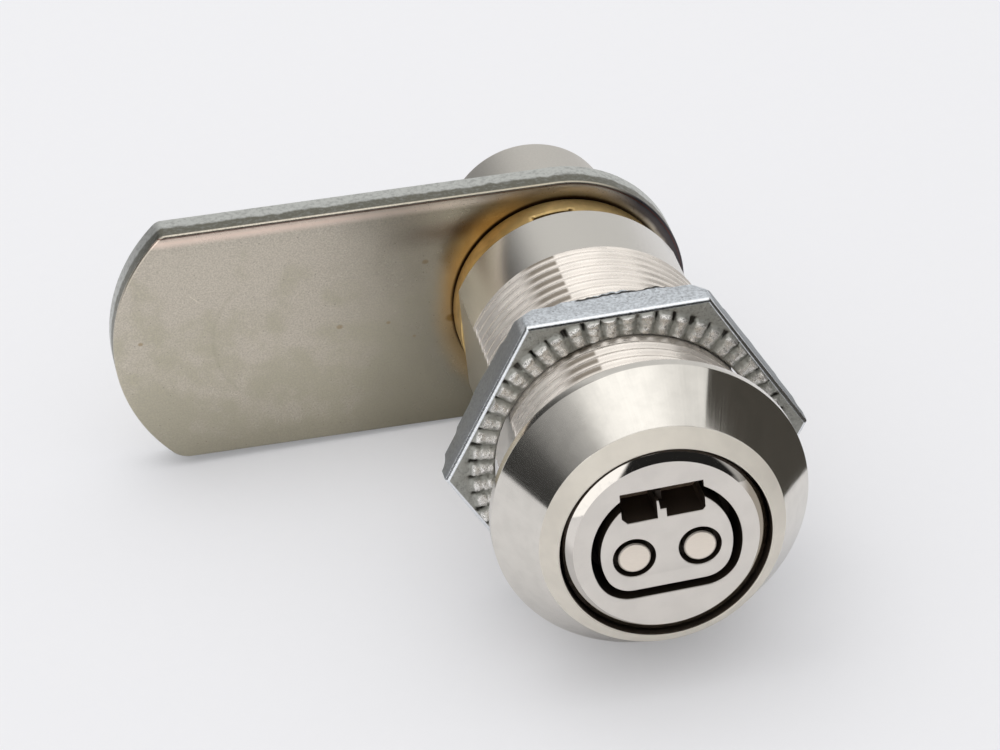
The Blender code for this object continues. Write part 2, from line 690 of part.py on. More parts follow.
for old in list(bpy.data.objects):
    bpy.data.objects.remove(old, do_unlink=True)

parts = collection("cam_lock")
cutters = collection("cutters")

lock_frame = axis_empty("lock_frame")
rotor_axis = axis_empty("rotor_axis", lock_frame)
drive_axis = axis_empty("drive_axis", rotor_axis)
nut_thread_axis = axis_empty("nut_thread_axis", lock_frame)

build_housing(lock_frame)
build_stator(lock_frame)
build_rotor(rotor_axis)
build_face_pins(rotor_axis)
build_tumblers(rotor_axis, lock_frame)
build_drive_collar(drive_axis)
build_cam(drive_axis)
build_washers_and_cap(rotor_axis)
build_lock_nut(nut_thread_axis)

lock_frame.rotation_euler.x = math.radians(90)
drive_axis.rotation_euler.z = -math.radians(CAM_PLAY_DEG)
bpy.context.view_layer.update()
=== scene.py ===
"""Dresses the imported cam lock: turned body, key face, serrated nut, brass collar, long cam and cap nut.

Pieces are drawn in millimetres with the lock's axis along Z, the key face towards +Z and the back of the
flange at Z = 0. A quarter turn about X then stands them up in the model's frame.
"""
import math

import bmesh
import bpy
from mathutils import Matrix, Vector, geometry, noise


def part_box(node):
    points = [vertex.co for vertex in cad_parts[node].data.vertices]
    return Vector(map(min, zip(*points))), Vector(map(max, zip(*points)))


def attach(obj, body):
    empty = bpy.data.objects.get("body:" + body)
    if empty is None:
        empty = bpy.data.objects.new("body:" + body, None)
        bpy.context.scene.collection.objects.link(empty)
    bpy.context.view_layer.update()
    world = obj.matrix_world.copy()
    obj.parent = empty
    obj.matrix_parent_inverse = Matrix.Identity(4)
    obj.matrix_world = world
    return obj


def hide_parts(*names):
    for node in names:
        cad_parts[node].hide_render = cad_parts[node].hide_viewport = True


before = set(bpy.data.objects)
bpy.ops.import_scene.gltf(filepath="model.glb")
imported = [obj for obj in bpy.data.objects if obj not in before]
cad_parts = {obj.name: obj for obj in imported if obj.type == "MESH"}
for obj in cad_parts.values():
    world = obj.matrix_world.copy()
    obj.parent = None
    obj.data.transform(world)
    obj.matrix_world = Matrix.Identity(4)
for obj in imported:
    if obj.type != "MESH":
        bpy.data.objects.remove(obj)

bl_info = {
    "name": "Cam lock dressing",
    "version": (1, 0, 0),
    "blender": (4, 5, 0),
    "location": "3D View > Sidebar > Cam Lock",
    "description": "Builds the visible pieces, finishes and stage of a cam lock round its packed frame",
    "category": "Add Mesh",
}

MM = 0.001


def reach(node, axis, side):
    """A node's lowest (side 0) or highest (side 1) place along a model axis, in millimetres."""
    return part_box(node)[side][axis] / MM


# Turned body: radii, then stations along the axis
FLANGE_R = reach("housing", 0, 1)
FACE_Z = -reach("housing", 1, 0)
BODY_BACK_Z = -reach("housing", 1, 1)
THREAD_R = 9.5
COLLAR_R = 9.16
MOUTH_R = 7.52
BORE_R = 6.75
THREAD_PITCH = 1.02
HEAD_SEAT_Z = 1.49
RIM_R = 8.80
RIM_Z = 4.65
LAND_Z = 0.75
THREAD_END_Z = -20.3
THREAD_END_STEP = 0.05
RIDGE_SHARE = 0.80
ROOT_LINE_W = 0.13
FLAT_X = 8.2
# Angles that bound the painted dark reflection on the thread's flanks
REFLECTION_STRIPES_DEG = (101.0, 112.0)
REFLECTION_STRIPES_FADE_DEG = 9.0
THREAD_ROWS = (0.0, 0.1, 0.2, 0.3, 0.38, 0.44, 0.48, 0.52, 0.56, 0.62, 0.7, 0.8, 0.9)
COLUMNS = 180
FLAT_EDGE_DEG = (16, 36)

# Key face
ROTOR_Z = -reach("rotor", 1, 0)
HEAD_R = 7.33
HEAD_BACK_Z = 1.59
ROTOR_R = 6.60
SPINDLE_R = 2.7
SHEAR_Z = ROTOR_Z - 14.8
ROTOR_END_Z = -reach("rotor", 1, 1)
PIN_X = 2.34
PIN_Y = -0.68
PIN_R = 1.18
PIN_RING_R = 1.53
PIN_RING_DEPTH = 1.0
PIN_LEN = 7.4
GROOVE_R = 5.04
GROOVE_DROP = 0.40
GROOVE_CORNER_R = 2.32
GROOVE_CORNER_DEG = 21.0
GROOVE_DEPTH = 4.0
SLOT_HALF_W = 2.95
SLOT_LOW_Y = 2.20
SLOT_HIGH_Y = 4.62
POCKET_DEPTH = 3.3
TAB_LEFT = -0.44
TAB_RIGHT = 0.22
TAB_TOP_Y = 2.9
STRIP_TOP_Y = 3.62
WEB_TOP_Y = 3.7
WEB_DEPTH = 1.2
SLOT_RIGHT_NOTCH = (0.20, 0.22)
SLOT_LEFT_NOTCH = (0.38, 0.42)
TAB_STEP = (0.17, 0.24)
EDGE_W = 0.70
EDGE_ROUND = 0.30
EDGE_TILT_DEG = (29.0, 40.0)

# Drive collar and cam
RING_R = 8.35
RING_Z = -26.25
RING_BACK_Z = -29.55
NOTCH_HALF_DEG = 10.1
NOTCH_DEG = 94.9
NOTCH_LEN = 1.65
NOTCH_FLOOR_R = 6.75
NOTCH_LIP = 0.13
LUG_FRONT_Z = -23.5
LUG_OUTER_R = 6.4
LUG_INNER_R = 3.2
LUG_DEG = (155, 205)
CAM_Z = -reach("cam", 1, 0)
CAM_BACK_Z = -reach("cam", 1, 1)
CAM_HALF_W = 9.6
CAM_TIP_R = 12.85
CAM_TIP_X = 21.2
CAM_CORNER_R = 0.95
CAM_LOW_CORNER_R = 1.9
CAM_CORNER_LEAST = 0.05
CAM_BACK_ROUND = ((0.0, 0.12), (0.035, 0.035), (0.12, 0.0))
CAM_TURN = math.radians(-2.8)
CAM_ROLL_DEG = 9.0
CAM_EDGE_R = 0.20
CAM_STAINS = ((-8.5, -0.55, 0.55, 1.0), (-17.0, 0.0, 0.34, 0.55), (-13.3, -0.22, 0.22, 0.5),
              (-10.2, 4.55, 0.34, 0.55), (-11.4, -1.7, 0.18, 0.4), (-32.0, 0.9, 0.26, 0.6))
CAM_RING_MARK = (-20.8, -0.1, 5.95)
CAM_SCRATCH = (-27.45, 4.4)
BOSS_HALF = 4.0

# Nut
NUT_Z = -6.60
NUT_BACK_Z = -reach("lock_nut", 1, 1)
NUT_HALF = 11.47
NUT_HOLE_R = 9.62
NUT_TURN = math.radians(-1.6)
TOOTH_OUTER_R = 11.55
NUT_EDGE = 0.28
TOOTH_COLUMNS = 16
TOOTH_ROWS = 18
BURR_X = (-2.4, 5.1)
BURR_Y = 11

# Rear fittings
WASHER_Z = -reach("flat_washer", 1, 0)
WASHER_BACK_Z = -reach("flat_washer", 1, 1)
SPLIT_Z = -reach("lock_washer", 1, 0)
SPLIT_BACK_Z = -reach("lock_washer", 1, 1)
CAP_Z = -reach("cap_nut", 1, 0)
CAP_BACK_Z = -reach("cap_nut", 1, 1)
CAP_R = 6.38
WASHER_R = 6.2
SPLIT_R = 4.65
SPLIT_GAP_DEG = 10
DRIVER_SLOT = (20.0, 1.6, 2.0)
SPINDLE_HOLE_R = 2.85

# Camera and stage
CAMERA_PLACE = (-46.752, -268.798, 178.739)
CAMERA_RIGHT = (0.97615, -0.19481, -0.09580)
CAMERA_UP = (0.18271, 0.49893, 0.84716)
FLOOR_POINT = (0.0, 9.55, -11.50)
FLOOR_NORMAL = (0.028, -0.0886, 1.0)
BOARD_CORNERS = ((20, -6, -5.5), (20, 14, -5.5), (20, 14, 24), (20, -6, 24))
LAMP_PLACE = (-0.10, 0.10, 0.45)
LAMP_SIZE = 0.30

# Grey levels of the reflected room, by height from level with the lock (0) to straight overhead (1)
ROOM_LEFT = ((0.0, 0.05), (0.17, 0.06), (0.26, 0.11), (0.38, 0.29), (0.5, 0.42), (0.6, 0.6), (0.72, 1.0),
             (1.0, 1.0))
ROOM_FRONT = ((0.0, 0.15), (0.02, 0.018), (0.54, 0.018), (0.57, 1.0), (1.0, 1.0))
ROOM_RIGHT = ((0.0, 0.40), (0.2, 0.45), (0.32, 0.8), (0.5, 1.0), (1.0, 1.0))
ROOM_BACK = ((0.0, 0.74), (0.36, 0.76), (0.6, 1.0), (1.0, 1.0))
ROOM_WINDOW = ((0.0, 1.3), (0.46, 1.3), (0.49, 0.45), (0.55, 0.45), (0.60, 1.0), (1.0, 1.0))

# Tints of the board, of a dim patch high in the room, and of the room's even light
BOARD_TINT = (0.075, 0.07, 0.062)
SHELF_TINT = (0.10, 0.09, 0.08)
ROOM_TINT = (0.98, 0.98, 0.99)

# Tints of tarnish, dirt and bare metal, and of painted highlights, reflections and shade, that no setting
# holds
CONE_SPECK = (0.9, 0.88, 0.82)
THREAD_ROOT = (0.20, 0.16, 0.12)
THREAD_REFLECTION_STRIPE = (0.15, 0.12, 0.085)
EDGE_BROWN_REFLECTION = (0.25, 0.21, 0.15)
PALE_PINK_HIGHLIGHT = (1.0, 0.92, 0.82)
CAM_DARK_REFLECTION = (0.15, 0.095, 0.06)
CAM_HUB_SHADOW = (0.030, 0.028, 0.040)
CAM_RED_REFLECTION_LINE = (0.16, 0.05, 0.035)
CAM_SEAT_SHADOW = (0.035, 0.018, 0.006)
SHEARED_ZONE = (0.165, 0.16, 0.125)
NUT_FACE_LIGHT = (0.95, 0.94, 0.88)
NUT_FACE_DARK = (0.52, 0.51, 0.47)
NUT_PIT = (0.14, 0.14, 0.13)
NUT_CRACK = (0.02, 0.018, 0.015)
EDGE_HIGHLIGHT = (0.90, 0.91, 0.92)
TOOTH_VALLEY = (0.46, 0.46, 0.42)
TOOTH_SHADE = (0.24, 0.23, 0.20)
TOOTH_PIT_SHADE = (0.045, 0.04, 0.032)
BRASS_SEAT_SHADOW = (0.05, 0.022, 0.006)

STAND_UP = Matrix.Rotation(math.pi / 2, 4, "X")


class CamLockSizes(bpy.types.PropertyGroup):
    thread_pitch: bpy.props.FloatProperty(
        name="Thread pitch", description="Advance of the body's thread in one turn",
        default=THREAD_PITCH * MM, min=0.5 * MM, max=2.0 * MM, precision=5, unit="LENGTH")
    thread_depth: bpy.props.FloatProperty(
        name="Thread depth", description="Height of the thread from root to crest",
        default=0.38 * MM, min=0.1 * MM, max=0.9 * MM, precision=5, unit="LENGTH")
    key_groove_width: bpy.props.FloatProperty(
        name="Key groove width", description="Width of the U-shaped groove in the key face",
        default=0.66 * MM, min=0.3 * MM, max=1.0 * MM, precision=5, unit="LENGTH")
    cam_roll: bpy.props.FloatProperty(
        name="Cam roll", description="Width of the soft roll that the stamping die left along the cam's edge",
        default=2.5 * MM, min=0.5 * MM, max=4.0 * MM, precision=5, unit="LENGTH")
    tooth_count: bpy.props.IntProperty(
        name="Nut teeth", description="Radial teeth round the nut's front face",
        default=52, min=24, max=80)
    tooth_height: bpy.props.FloatProperty(
        name="Tooth height", description="Rise of the nut's teeth over its front face",
        default=0.34 * MM, min=0.1 * MM, max=0.6 * MM, precision=5, unit="LENGTH")
    burr_height: bpy.props.FloatProperty(
        name="Burr height", description="Rise of the sheared burr on the nut's rear upper edge",
        default=0.12 * MM, min=0.0, max=0.4 * MM, precision=5, unit="LENGTH")


def colour_property(name, description, default):
    return bpy.props.FloatVectorProperty(
        name=name, description=description, default=default, size=3, min=0, max=1, subtype="COLOR")


class CamLockColours(bpy.types.PropertyGroup):
    nickel: colour_property("Nickel", "Plating of the body, cap nut and flat washer", (0.73, 0.70, 0.645))
    rim: colour_property("Satin rim", "Blasted chamfer round the mouth", (0.76, 0.71, 0.62))
    thread: colour_property("Thread", "Plating of the thread", (0.86, 0.80, 0.73))
    key_face: colour_property("Key face", "Ground face of the rotor", (0.76, 0.72, 0.665))
    pin: colour_property("Face pins", "Ground ends of the two hard pins", (0.86, 0.78, 0.68))
    cam: colour_property("Cam", "Matt zinc of the cam", (0.62, 0.565, 0.475))
    # Painted highlight: the pink along the cam's rolled edge.
    pink_edge_highlight: colour_property("Blush", "Pink tint along the cam's rolled edge", (0.98, 0.79, 0.67))
    # Painted reflection: the gold of the brass collar seen in the cam round it.
    gold: colour_property("Golden seat", "Golden tint on the cam round the collar", (0.56, 0.37, 0.15))
    torn: colour_property("Torn side", "Rear zone of the cam's cut side", (0.62, 0.63, 0.60))
    zinc: colour_property("Nut", "Clear blue zinc of the nut", (0.62, 0.65, 0.68))
    # Crests: rubbed wear together with a painted highlight.
    tooth: colour_property("Tooth crests", "Rubbed crests of the nut's teeth", (1.0, 0.98, 0.94))
    brass: colour_property("Brass", "Drive collar, stator and tumblers", (0.74, 0.53, 0.23))
    steel: colour_property("Steel", "Cross pin, lock washer, driver pins and springs", (0.56, 0.555, 0.55))
    oil: colour_property("Oil film", "Dark film in the keyways and grooves", (0.030, 0.022, 0.016))
    stain: colour_property("Stain", "Brown marks on the cam", (0.30, 0.19, 0.07))


class CamLockStage(bpy.types.PropertyGroup):
    floor: colour_property("Floor", "Pale paper under the lock", (0.84, 0.84, 0.855))
    floor_size: bpy.props.FloatProperty(
        name="Floor size", description="Width of the paper", default=4.0, min=0.5, max=20.0, unit="LENGTH")
    dome: bpy.props.FloatProperty(
        name="Dome", description="Strength of the soft light from the room", default=1.0, min=0.0, max=3.0)
    lamp: bpy.props.FloatProperty(
        name="Lamp", description="Power of the soft lamp overhead", default=0.25, min=0.0, max=20.0,
        unit="POWER")
    lens: bpy.props.FloatProperty(
        name="Lens", description="Focal length of the camera", default=167.2, min=20.0, max=400.0,
        unit="CAMERA")


def arc(centre_x, centre_y, radius, start_deg, end_deg, steps):
    """Points along an arc in the XY plane, both ends included."""
    points = []
    for step in range(steps + 1):
        angle = math.radians(start_deg + (end_deg - start_deg) * step / steps)
        points.append((centre_x + radius * math.cos(angle), centre_y + radius * math.sin(angle)))
    return points


def circle(radius, steps, x=0.0, y=0.0):
    return arc(x, y, radius, 0, 360 * (steps - 1) / steps, steps - 1)


def inset(loop, distance):
    """A closed loop moved to the left of its own direction."""
    if not distance:
        return list(loop)
    moved = []
    for index, point in enumerate(loop):
        here = Vector(point)
        before = (here - Vector(loop[index - 1])).normalized()
        after = (Vector(loop[(index + 1) % len(loop)]) - here).normalized()
        left = Vector((-before.y - after.y, before.x + after.x))
        moved.append(tuple(here + left * distance / (1 + before.dot(after))))
    return moved


def linked(name, data):
    """A new object in the scene."""
    made = bpy.data.objects.new(name, data)
    bpy.context.scene.collection.objects.link(made)
    return made


def level(loop, z):
    return [(x, y, z) for x, y in loop]


def softened(corners, steps=4):
    """A profile from (radius, z, rounding) corners, with each corner rounded as it says."""
    points = []
    for index, (radius, z, rounding) in enumerate(corners):
        here = Vector((radius, z))
        if not rounding:
            points.append(tuple(here))
            continue
        before = (Vector(corners[index - 1][:2]) - here).normalized()
        after = (Vector(corners[index + 1][:2]) - here).normalized()
        half = before.angle(after) / 2
        centre = here + (before + after).normalized() * rounding / math.sin(half)
        first = here + before * rounding / math.tan(half) - centre
        last = here + after * rounding / math.tan(half) - centre
        for step in range(steps + 1):
            points.append(tuple(centre + first.slerp(last, step / steps) * rounding))
    return points


def smooth_step(low, high, value):
    part = min(max((value - low) / (high - low), 0.0), 1.0)
    return part * part * (3 - 2 * part)


class Shell:
    """Points and faces of one piece in millimetres, gathered before its mesh is made."""

    def __init__(self):
        self.points = []
        self.faces = []
        self.kinds = []

    def ring(self, points):
        first = len(self.points)
        self.points.extend(points)
        return range(first, len(self.points))

    def skin(self, rings, kinds, closed=True):
        """Quads between neighbouring rings. A single kind holds for every band."""
        laid = [self.ring(points) for points in rings]
        if isinstance(kinds, int):
            kinds = [kinds] * (len(laid) - 1)
        for before, after, kind in zip(laid, laid[1:], kinds):
            count = len(before)
            for place in range(count if closed else count - 1):
                beside = (place + 1) % count
                self.faces.append((before[place], before[beside], after[beside], after[place]))
                self.kinds.append(kind)

    def fill(self, loops, kind):
        """Triangles over a flat outline and its holes."""
        laid = [place for loop in loops for place in self.ring(loop)]
        for triangle in geometry.tessellate_polygon([[Vector(point) for point in loop] for loop in loops]):
            self.faces.append(tuple(laid[corner] for corner in triangle))
            self.kinds.append(kind)

    def turned(self, profile, angles, kinds):
        """Sweep a (radius, z) profile round the axis."""
        rings = [[(radius * math.cos(angle), radius * math.sin(angle), z) for angle in angles]
                 for radius, z in profile]
        self.skin(rings, kinds)

    def plate(self, loops, top, bottom, kinds, steps=3):
        """A flat face with rounded rims. Each loop is (points, rounding); kinds are face, rim and wall."""
        face, rim, wall = kinds
        for points, rounding in loops:
            rings = []
            for step in range(steps + 1 if rounding else 1):
                turn = math.pi / 2 * step / steps
                shift = rounding * (1 - math.sin(turn))
                rings.append(level(inset(points, shift), top - rounding * (1 - math.cos(turn))))
            rings.append(level(points, bottom))
            self.skin(rings, [rim] * (len(rings) - 2) + [wall])
        self.fill([level(inset(points, rounding), top) for points, rounding in loops], face)

    def piece(self, name, body, nodes, materials, place=Matrix.Identity(4), sharp_deg=35):
        """Make the mesh, stand it up and let it ride on its body in place of its nodes."""
        mesh = bpy.data.meshes.new(name)
        mesh.from_pydata([(x * MM, y * MM, z * MM) for x, y, z in self.points], [], self.faces)
        mesh.polygons.foreach_set("material_index", self.kinds)
        shape = bmesh.new()
        shape.from_mesh(mesh)
        bmesh.ops.remove_doubles(shape, verts=shape.verts, dist=0.0005 * MM)
        bmesh.ops.recalc_face_normals(shape, faces=shape.faces)
        shape.to_mesh(mesh)
        shape.free()
        for material in materials:
            mesh.materials.append(material)
        mesh.shade_smooth()
        mesh.set_sharp_from_angle(angle=math.radians(sharp_deg))
        made = linked(name, mesh)
        made.matrix_world = STAND_UP @ place
        made.modifiers.new("even_faces", "WEIGHTED_NORMAL").keep_sharp = True
        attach(made, body)
        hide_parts(*nodes)
        return made


def even_angles(count):
    return [2 * math.pi * index / count for index in range(count)]


def body_angles():
    """Even columns, with closer ones where the flats cut the thread on all four sides."""
    angles = set(even_angles(COLUMNS))
    low, high = FLAT_EDGE_DEG
    for step in range((high - low) * 2 + 1):
        near = math.radians(low + step / 2)
        angles.update((near, math.pi - near, math.pi + near, 2 * math.pi - near))
    ordered = []
    for angle in sorted(angles):
        if not ordered or angle - ordered[-1] > 0.003:
            ordered.append(angle)
    return ordered


def thread_cut(part, depth):
    """Depth below the crest: rounded ridges with a fine sharp groove between each two."""
    off_root = abs(2 * part - 1)
    ridge = (1 + math.cos(math.pi * off_root)) / 2
    line = 1 - smooth_step(0.0, ROOT_LINE_W, off_root)
    return depth * (RIDGE_SHARE * ridge + (1 - RIDGE_SHARE) * line)


def helical_rings(angles, pitch, depth):
    """Rings that follow the thread from the flange to its end, flattened on both sides of the body."""
    turns = int(-THREAD_END_Z / pitch) + 2
    rings = []
    for turn in range(-1, turns + 1):
        for part in THREAD_ROWS:
            ring = []
            for angle in angles:
                z = min(max(pitch * (0.5 - turn - part - angle / (2 * math.pi)), THREAD_END_Z), 0.0)
                runout = COLLAR_R - THREAD_END_STEP + (z - THREAD_END_Z)
                radius = min(THREAD_R - thread_cut(part, depth), runout)
                ring.append(flattened(radius, angle, z))
            rings.append(ring)
    for ring, after in zip(rings, rings[len(THREAD_ROWS):]):
        ring.append(after[0])
    return rings[:-len(THREAD_ROWS)]


def flattened(radius, angle, z):
    x = radius * math.cos(angle)
    return min(max(x, -FLAT_X), FLAT_X), radius * math.sin(angle), z


def groove_corner():
    reach_out = GROOVE_R - GROOVE_CORNER_R
    slope = math.radians(GROOVE_CORNER_DEG)
    return reach_out * math.cos(slope), -GROOVE_DROP - reach_out * math.sin(slope)


def groove_side(offset):
    """One side of the key groove, from the slot's right end clockwise to its left end."""
    big_r = GROOVE_R + offset
    corner_x, corner_y = groove_corner()
    end_deg = math.degrees(math.acos(SLOT_HALF_W / big_r))
    right = arc(0, -GROOVE_DROP, big_r, end_deg, -GROOVE_CORNER_DEG, 24)
    corner = arc(corner_x, corner_y, GROOVE_CORNER_R + offset, -GROOVE_CORNER_DEG, -90, 14)
    half = right + corner[1:]
    return half + [(-x, y) for x, y in reversed(half)]


def box_loop(x_low, x_high, y_low, y_high):
    return [(x_low, y_low), (x_high, y_low), (x_high, y_high), (x_low, y_high)]


def cam_loop(shift=0.0):
    """Round hub, straight sides and a wide arc at the tip, pointing to -X and drawn in by a shift."""
    corners = []
    for side, rounding in ((-1, CAM_CORNER_R), (1, CAM_LOW_CORNER_R)):
        corner_r = max(rounding - shift, CAM_CORNER_LEAST)
        inner_r = CAM_TIP_R - shift - corner_r
        side_y = CAM_HALF_W - shift - corner_r
        slope = math.asin(side_y / inner_r)
        corner_x = CAM_TIP_X + inner_r * math.cos(slope)
        corners.append((corner_x, side * side_y, corner_r, side * math.degrees(slope)))
    first, last = corners
    hub = arc(0, 0, CAM_HALF_W - shift, 90, 270, 72)
    start = arc(*first[:3], -90, first[3], 10)
    tip = arc(CAM_TIP_X, 0, CAM_TIP_R - shift, first[3], last[3], 48)
    end = arc(*last[:3], last[3], 90, 10)
    outline = hub + start + tip[1:-1] + end
    return [(-x, -y) for x, y in outline]


def roll_profile(width, edge_steps=4, roll_steps=10):
    """(inset, drop) from the cam's side over a small corner and along the soft roll to its flat face."""
    tilt = math.radians(CAM_ROLL_DEG)
    first = CAM_EDGE_R * (1 - math.sin(tilt))
    fall = math.tan(tilt) * (width - first) / 2
    points = []
    for step in range(edge_steps + 1):
        turn = math.pi / 2 + (tilt - math.pi / 2) * step / edge_steps
        drop = fall + CAM_EDGE_R * (math.cos(tilt) - math.cos(turn))
        points.append((CAM_EDGE_R * (1 - math.sin(turn)), drop))
    for step in range(1, roll_steps + 1):
        part = step / roll_steps
        points.append((first + (width - first) * part, fall * (1 - part) ** 2))
    return points


def hexagon_reach(angle):
    """Distance from the axis to the nut's side."""
    sixth = math.pi / 3
    return NUT_HALF / math.cos(angle % sixth - sixth / 2)


def tooth_rise(radius, angle, count, height):
    """Height of the toothed ring over the nut's face, each tooth a little unlike its neighbours."""
    place = angle / (2 * math.pi) * count
    number = int(place) % count
    wobble = noise.noise(Vector((number * 3.7, 0.3, 1.9)))
    other = noise.noise(Vector((number * 5.3, 7.1, 4.4)))
    lean = 0.12 * wobble + 0.08 * (radius - NUT_HOLE_R) * other
    across = abs(2 * ((place + lean) % 1) - 1)
    ridge = 1 - across ** (2.0 + 0.8 * other)
    ends = smooth_step(NUT_HOLE_R, NUT_HOLE_R + 0.25, radius)
    ends *= 1 - smooth_step(TOOTH_OUTER_R - 0.40 + 0.20 * wobble, TOOTH_OUTER_R, radius)
    rough = 0.09 * noise.noise(Vector((radius * 3.2, place * 2.2, 0.5)))
    rough += 0.07 * noise.noise(Vector((radius * 8, place * 6.1, 3.5)))
    curl = (0.09 + 0.20 * wobble) * smooth_step(TOOTH_OUTER_R - 0.75, TOOTH_OUTER_R - 0.40, radius)
    pit = 0.30 * smooth_step(0.62, 0.95, across)
    pit *= smooth_step(TOOTH_OUTER_R - 0.90, TOOTH_OUTER_R - 0.35, radius)
    pit *= (1 - smooth_step(TOOTH_OUTER_R - 0.15, TOOTH_OUTER_R + 0.1, radius)) * (0.7 + wobble)
    return height * ridge * ends * (1 + 0.3 * wobble) + (rough + curl * ridge) * ends - max(pit, 0)


class Link:
    """One value in a node tree, which takes part in sums."""

    def __init__(self, tree, socket):
        self.tree = tree
        self.socket = socket

    def __add__(self, other):
        return self.tree.maths("ADD", self, other)

    __radd__ = __add__

    def __sub__(self, other):
        return self.tree.maths("SUBTRACT", self, other)

    def __rsub__(self, other):
        return self.tree.maths("SUBTRACT", other, self)

    def __mul__(self, other):
        return self.tree.maths("MULTIPLY", self, other)

    __rmul__ = __mul__

    def __truediv__(self, other):
        return self.tree.maths("DIVIDE", self, other)

    def __rtruediv__(self, other):
        return self.tree.maths("DIVIDE", other, self)

    def __abs__(self):
        return self.tree.maths("ABSOLUTE", self)

    def __pow__(self, other):
        return self.tree.maths("POWER", self, other)


class Tree:
    """Builds the nodes of one material or of the world."""

    def __init__(self, owner, output_kind):
        owner.use_nodes = True
        self.nodes = owner.node_tree.nodes
        self.links = owner.node_tree.links
        self.nodes.clear()
        self.output = self.nodes.new(output_kind)

    def node(self, kind, settings=None, inputs=None, output=0):
        """A node of a kind, with its settings made first, then its values and links."""
        made = self.nodes.new(kind)
        for key, value in (settings or {}).items():
            if key == "stops":
                elements = made.color_ramp.elements
                elements.remove(elements[1])
                elements[0].position, elements[0].color = value[0]
                for position, colour in value[1:]:
                    elements.new(position).color = colour
            else:
                setattr(made, key, value)
        for key, value in (inputs or {}).items():
            if isinstance(value, Link):
                self.links.new(value.socket, made.inputs[key])
            else:
                made.inputs[key].default_value = value
        return Link(self, made.outputs[output])

    def maths(self, operation, *values):
        return self.node("ShaderNodeMath", {"operation": operation}, dict(enumerate(values)))

    def vector(self, operation, *values, output=0):
        return self.node("ShaderNodeVectorMath", {"operation": operation}, dict(enumerate(values)), output)

    def scaled(self, vector, factor):
        return self.node("ShaderNodeVectorMath", {"operation": "SCALE"}, {0: vector, "Scale": factor})

    def parts(self, vector):
        return [self.node("ShaderNodeSeparateXYZ", None, {0: vector}, axis) for axis in range(3)]

    def joined(self, x, y, z):
        return self.node("ShaderNodeCombineXYZ", None, {0: x, 1: y, 2: z})

    def span(self, value, low, high, start=0.0, end=1.0, curve="SMOOTHSTEP"):
        """Map a range of values to another, held at both ends."""
        return self.node("ShaderNodeMapRange", {"interpolation_type": curve},
                         {0: value, 1: low, 2: high, 3: start, 4: end})

    def blend(self, factor, first, second):
        """Mix two colours."""
        first, second = [value if isinstance(value, Link) else (*value, 1.0) for value in (first, second)]
        return self.node("ShaderNodeMix", {"data_type": "RGBA"}, {0: factor, 6: first, 7: second}, 2)

    def grain(self, vector, scale, detail=2.0, roughness=0.5):
        """Soft noise from 0 to 1 about 0.5."""
        return self.node("ShaderNodeTexNoise", None, {
            "Vector": vector, "Scale": scale, "Detail": detail, "Roughness": roughness})

    def cells(self, vector, scale):
        """Distance to the nearest of scattered points."""
        return self.node("ShaderNodeTexVoronoi", None, {"Vector": vector, "Scale": scale}, "Distance")

    def ramp(self, value, stops):
        """A grey level from (place, level) stops."""
        return self.node("ShaderNodeValToRGB", {
            "stops": [(place, (grey, grey, grey, 1.0)) for place, grey in stops]}, {0: value})


class Metal(Tree):
    """A plated or bare metal finish, with places measured in millimetres from the lock's axis."""

    def __init__(self, name):
        self.material = bpy.data.materials.new(name)
        super().__init__(self.material, "ShaderNodeOutputMaterial")
        metres = self.node("ShaderNodeTexCoord", None, None, "Object")
        self.place = self.scaled(metres, 1 / MM)
        self.x, self.y, self.z = self.parts(self.place)
        flat = self.joined(self.x, self.y, 0.0)
        self.radius = self.vector("LENGTH", flat, output=1)
        self.outward = self.vector("NORMALIZE", flat)

    def lathe_grain(self, around, along, scale=1.0, detail=2.0):
        """Noise that runs in rings when along is large, and in stripes along the axis when around is."""
        out_x, out_y, _ = self.parts(self.outward)
        drawn = self.joined(out_x * around, out_y * around, self.z * along + self.radius * along * 0.7)
        return self.grain(drawn, scale, detail)

    def specks(self, scale, size, seed=0.0):
        """Scattered small dots, 1 inside."""
        moved = self.vector("ADD", self.place, (seed, seed * 0.7, seed * 1.3))
        return self.span(self.cells(moved, scale), size * 0.5, size, 1.0, 0.0)

    def spot(self, x, y, wide, tall=None):
        """A soft round mark in the XY plane, 1 at its middle."""
        tall = tall or wide
        away = ((self.x - x) / wide) ** 2.0 + ((self.y - y) / tall) ** 2.0
        return self.span(away, 0.0, 1.0, 1.0, 0.0)

    def band(self, value, middle, half):
        """A soft line where a value passes its middle, 1 at its centre."""
        return self.span(abs(value - middle), 0.0, half, 1.0, 0.0)

    def bump(self, height, depth, normal=None):
        """A bump whose full height is depth millimetres."""
        inputs = {"Strength": 1.0, "Distance": depth * MM, "Height": height}
        if normal:
            inputs["Normal"] = normal
        return self.node("ShaderNodeBump", None, inputs)

    def done(self, colour, roughness, normal=None, metallic=1.0, anisotropic=0.0):
        inputs = {"Metallic": metallic, "Anisotropic": anisotropic, "Anisotropic Rotation": 0.25,
                  "Roughness": roughness,
                  "Base Color": colour if isinstance(colour, Link) else (*colour, 1.0)}
        if normal:
            inputs["Normal"] = normal
        shader = self.node("ShaderNodeBsdfPrincipled", None, inputs)
        self.links.new(shader.socket, self.output.inputs["Surface"])
        return self.material


def shade(colour, factor):
    return tuple(channel * factor for channel in colour)


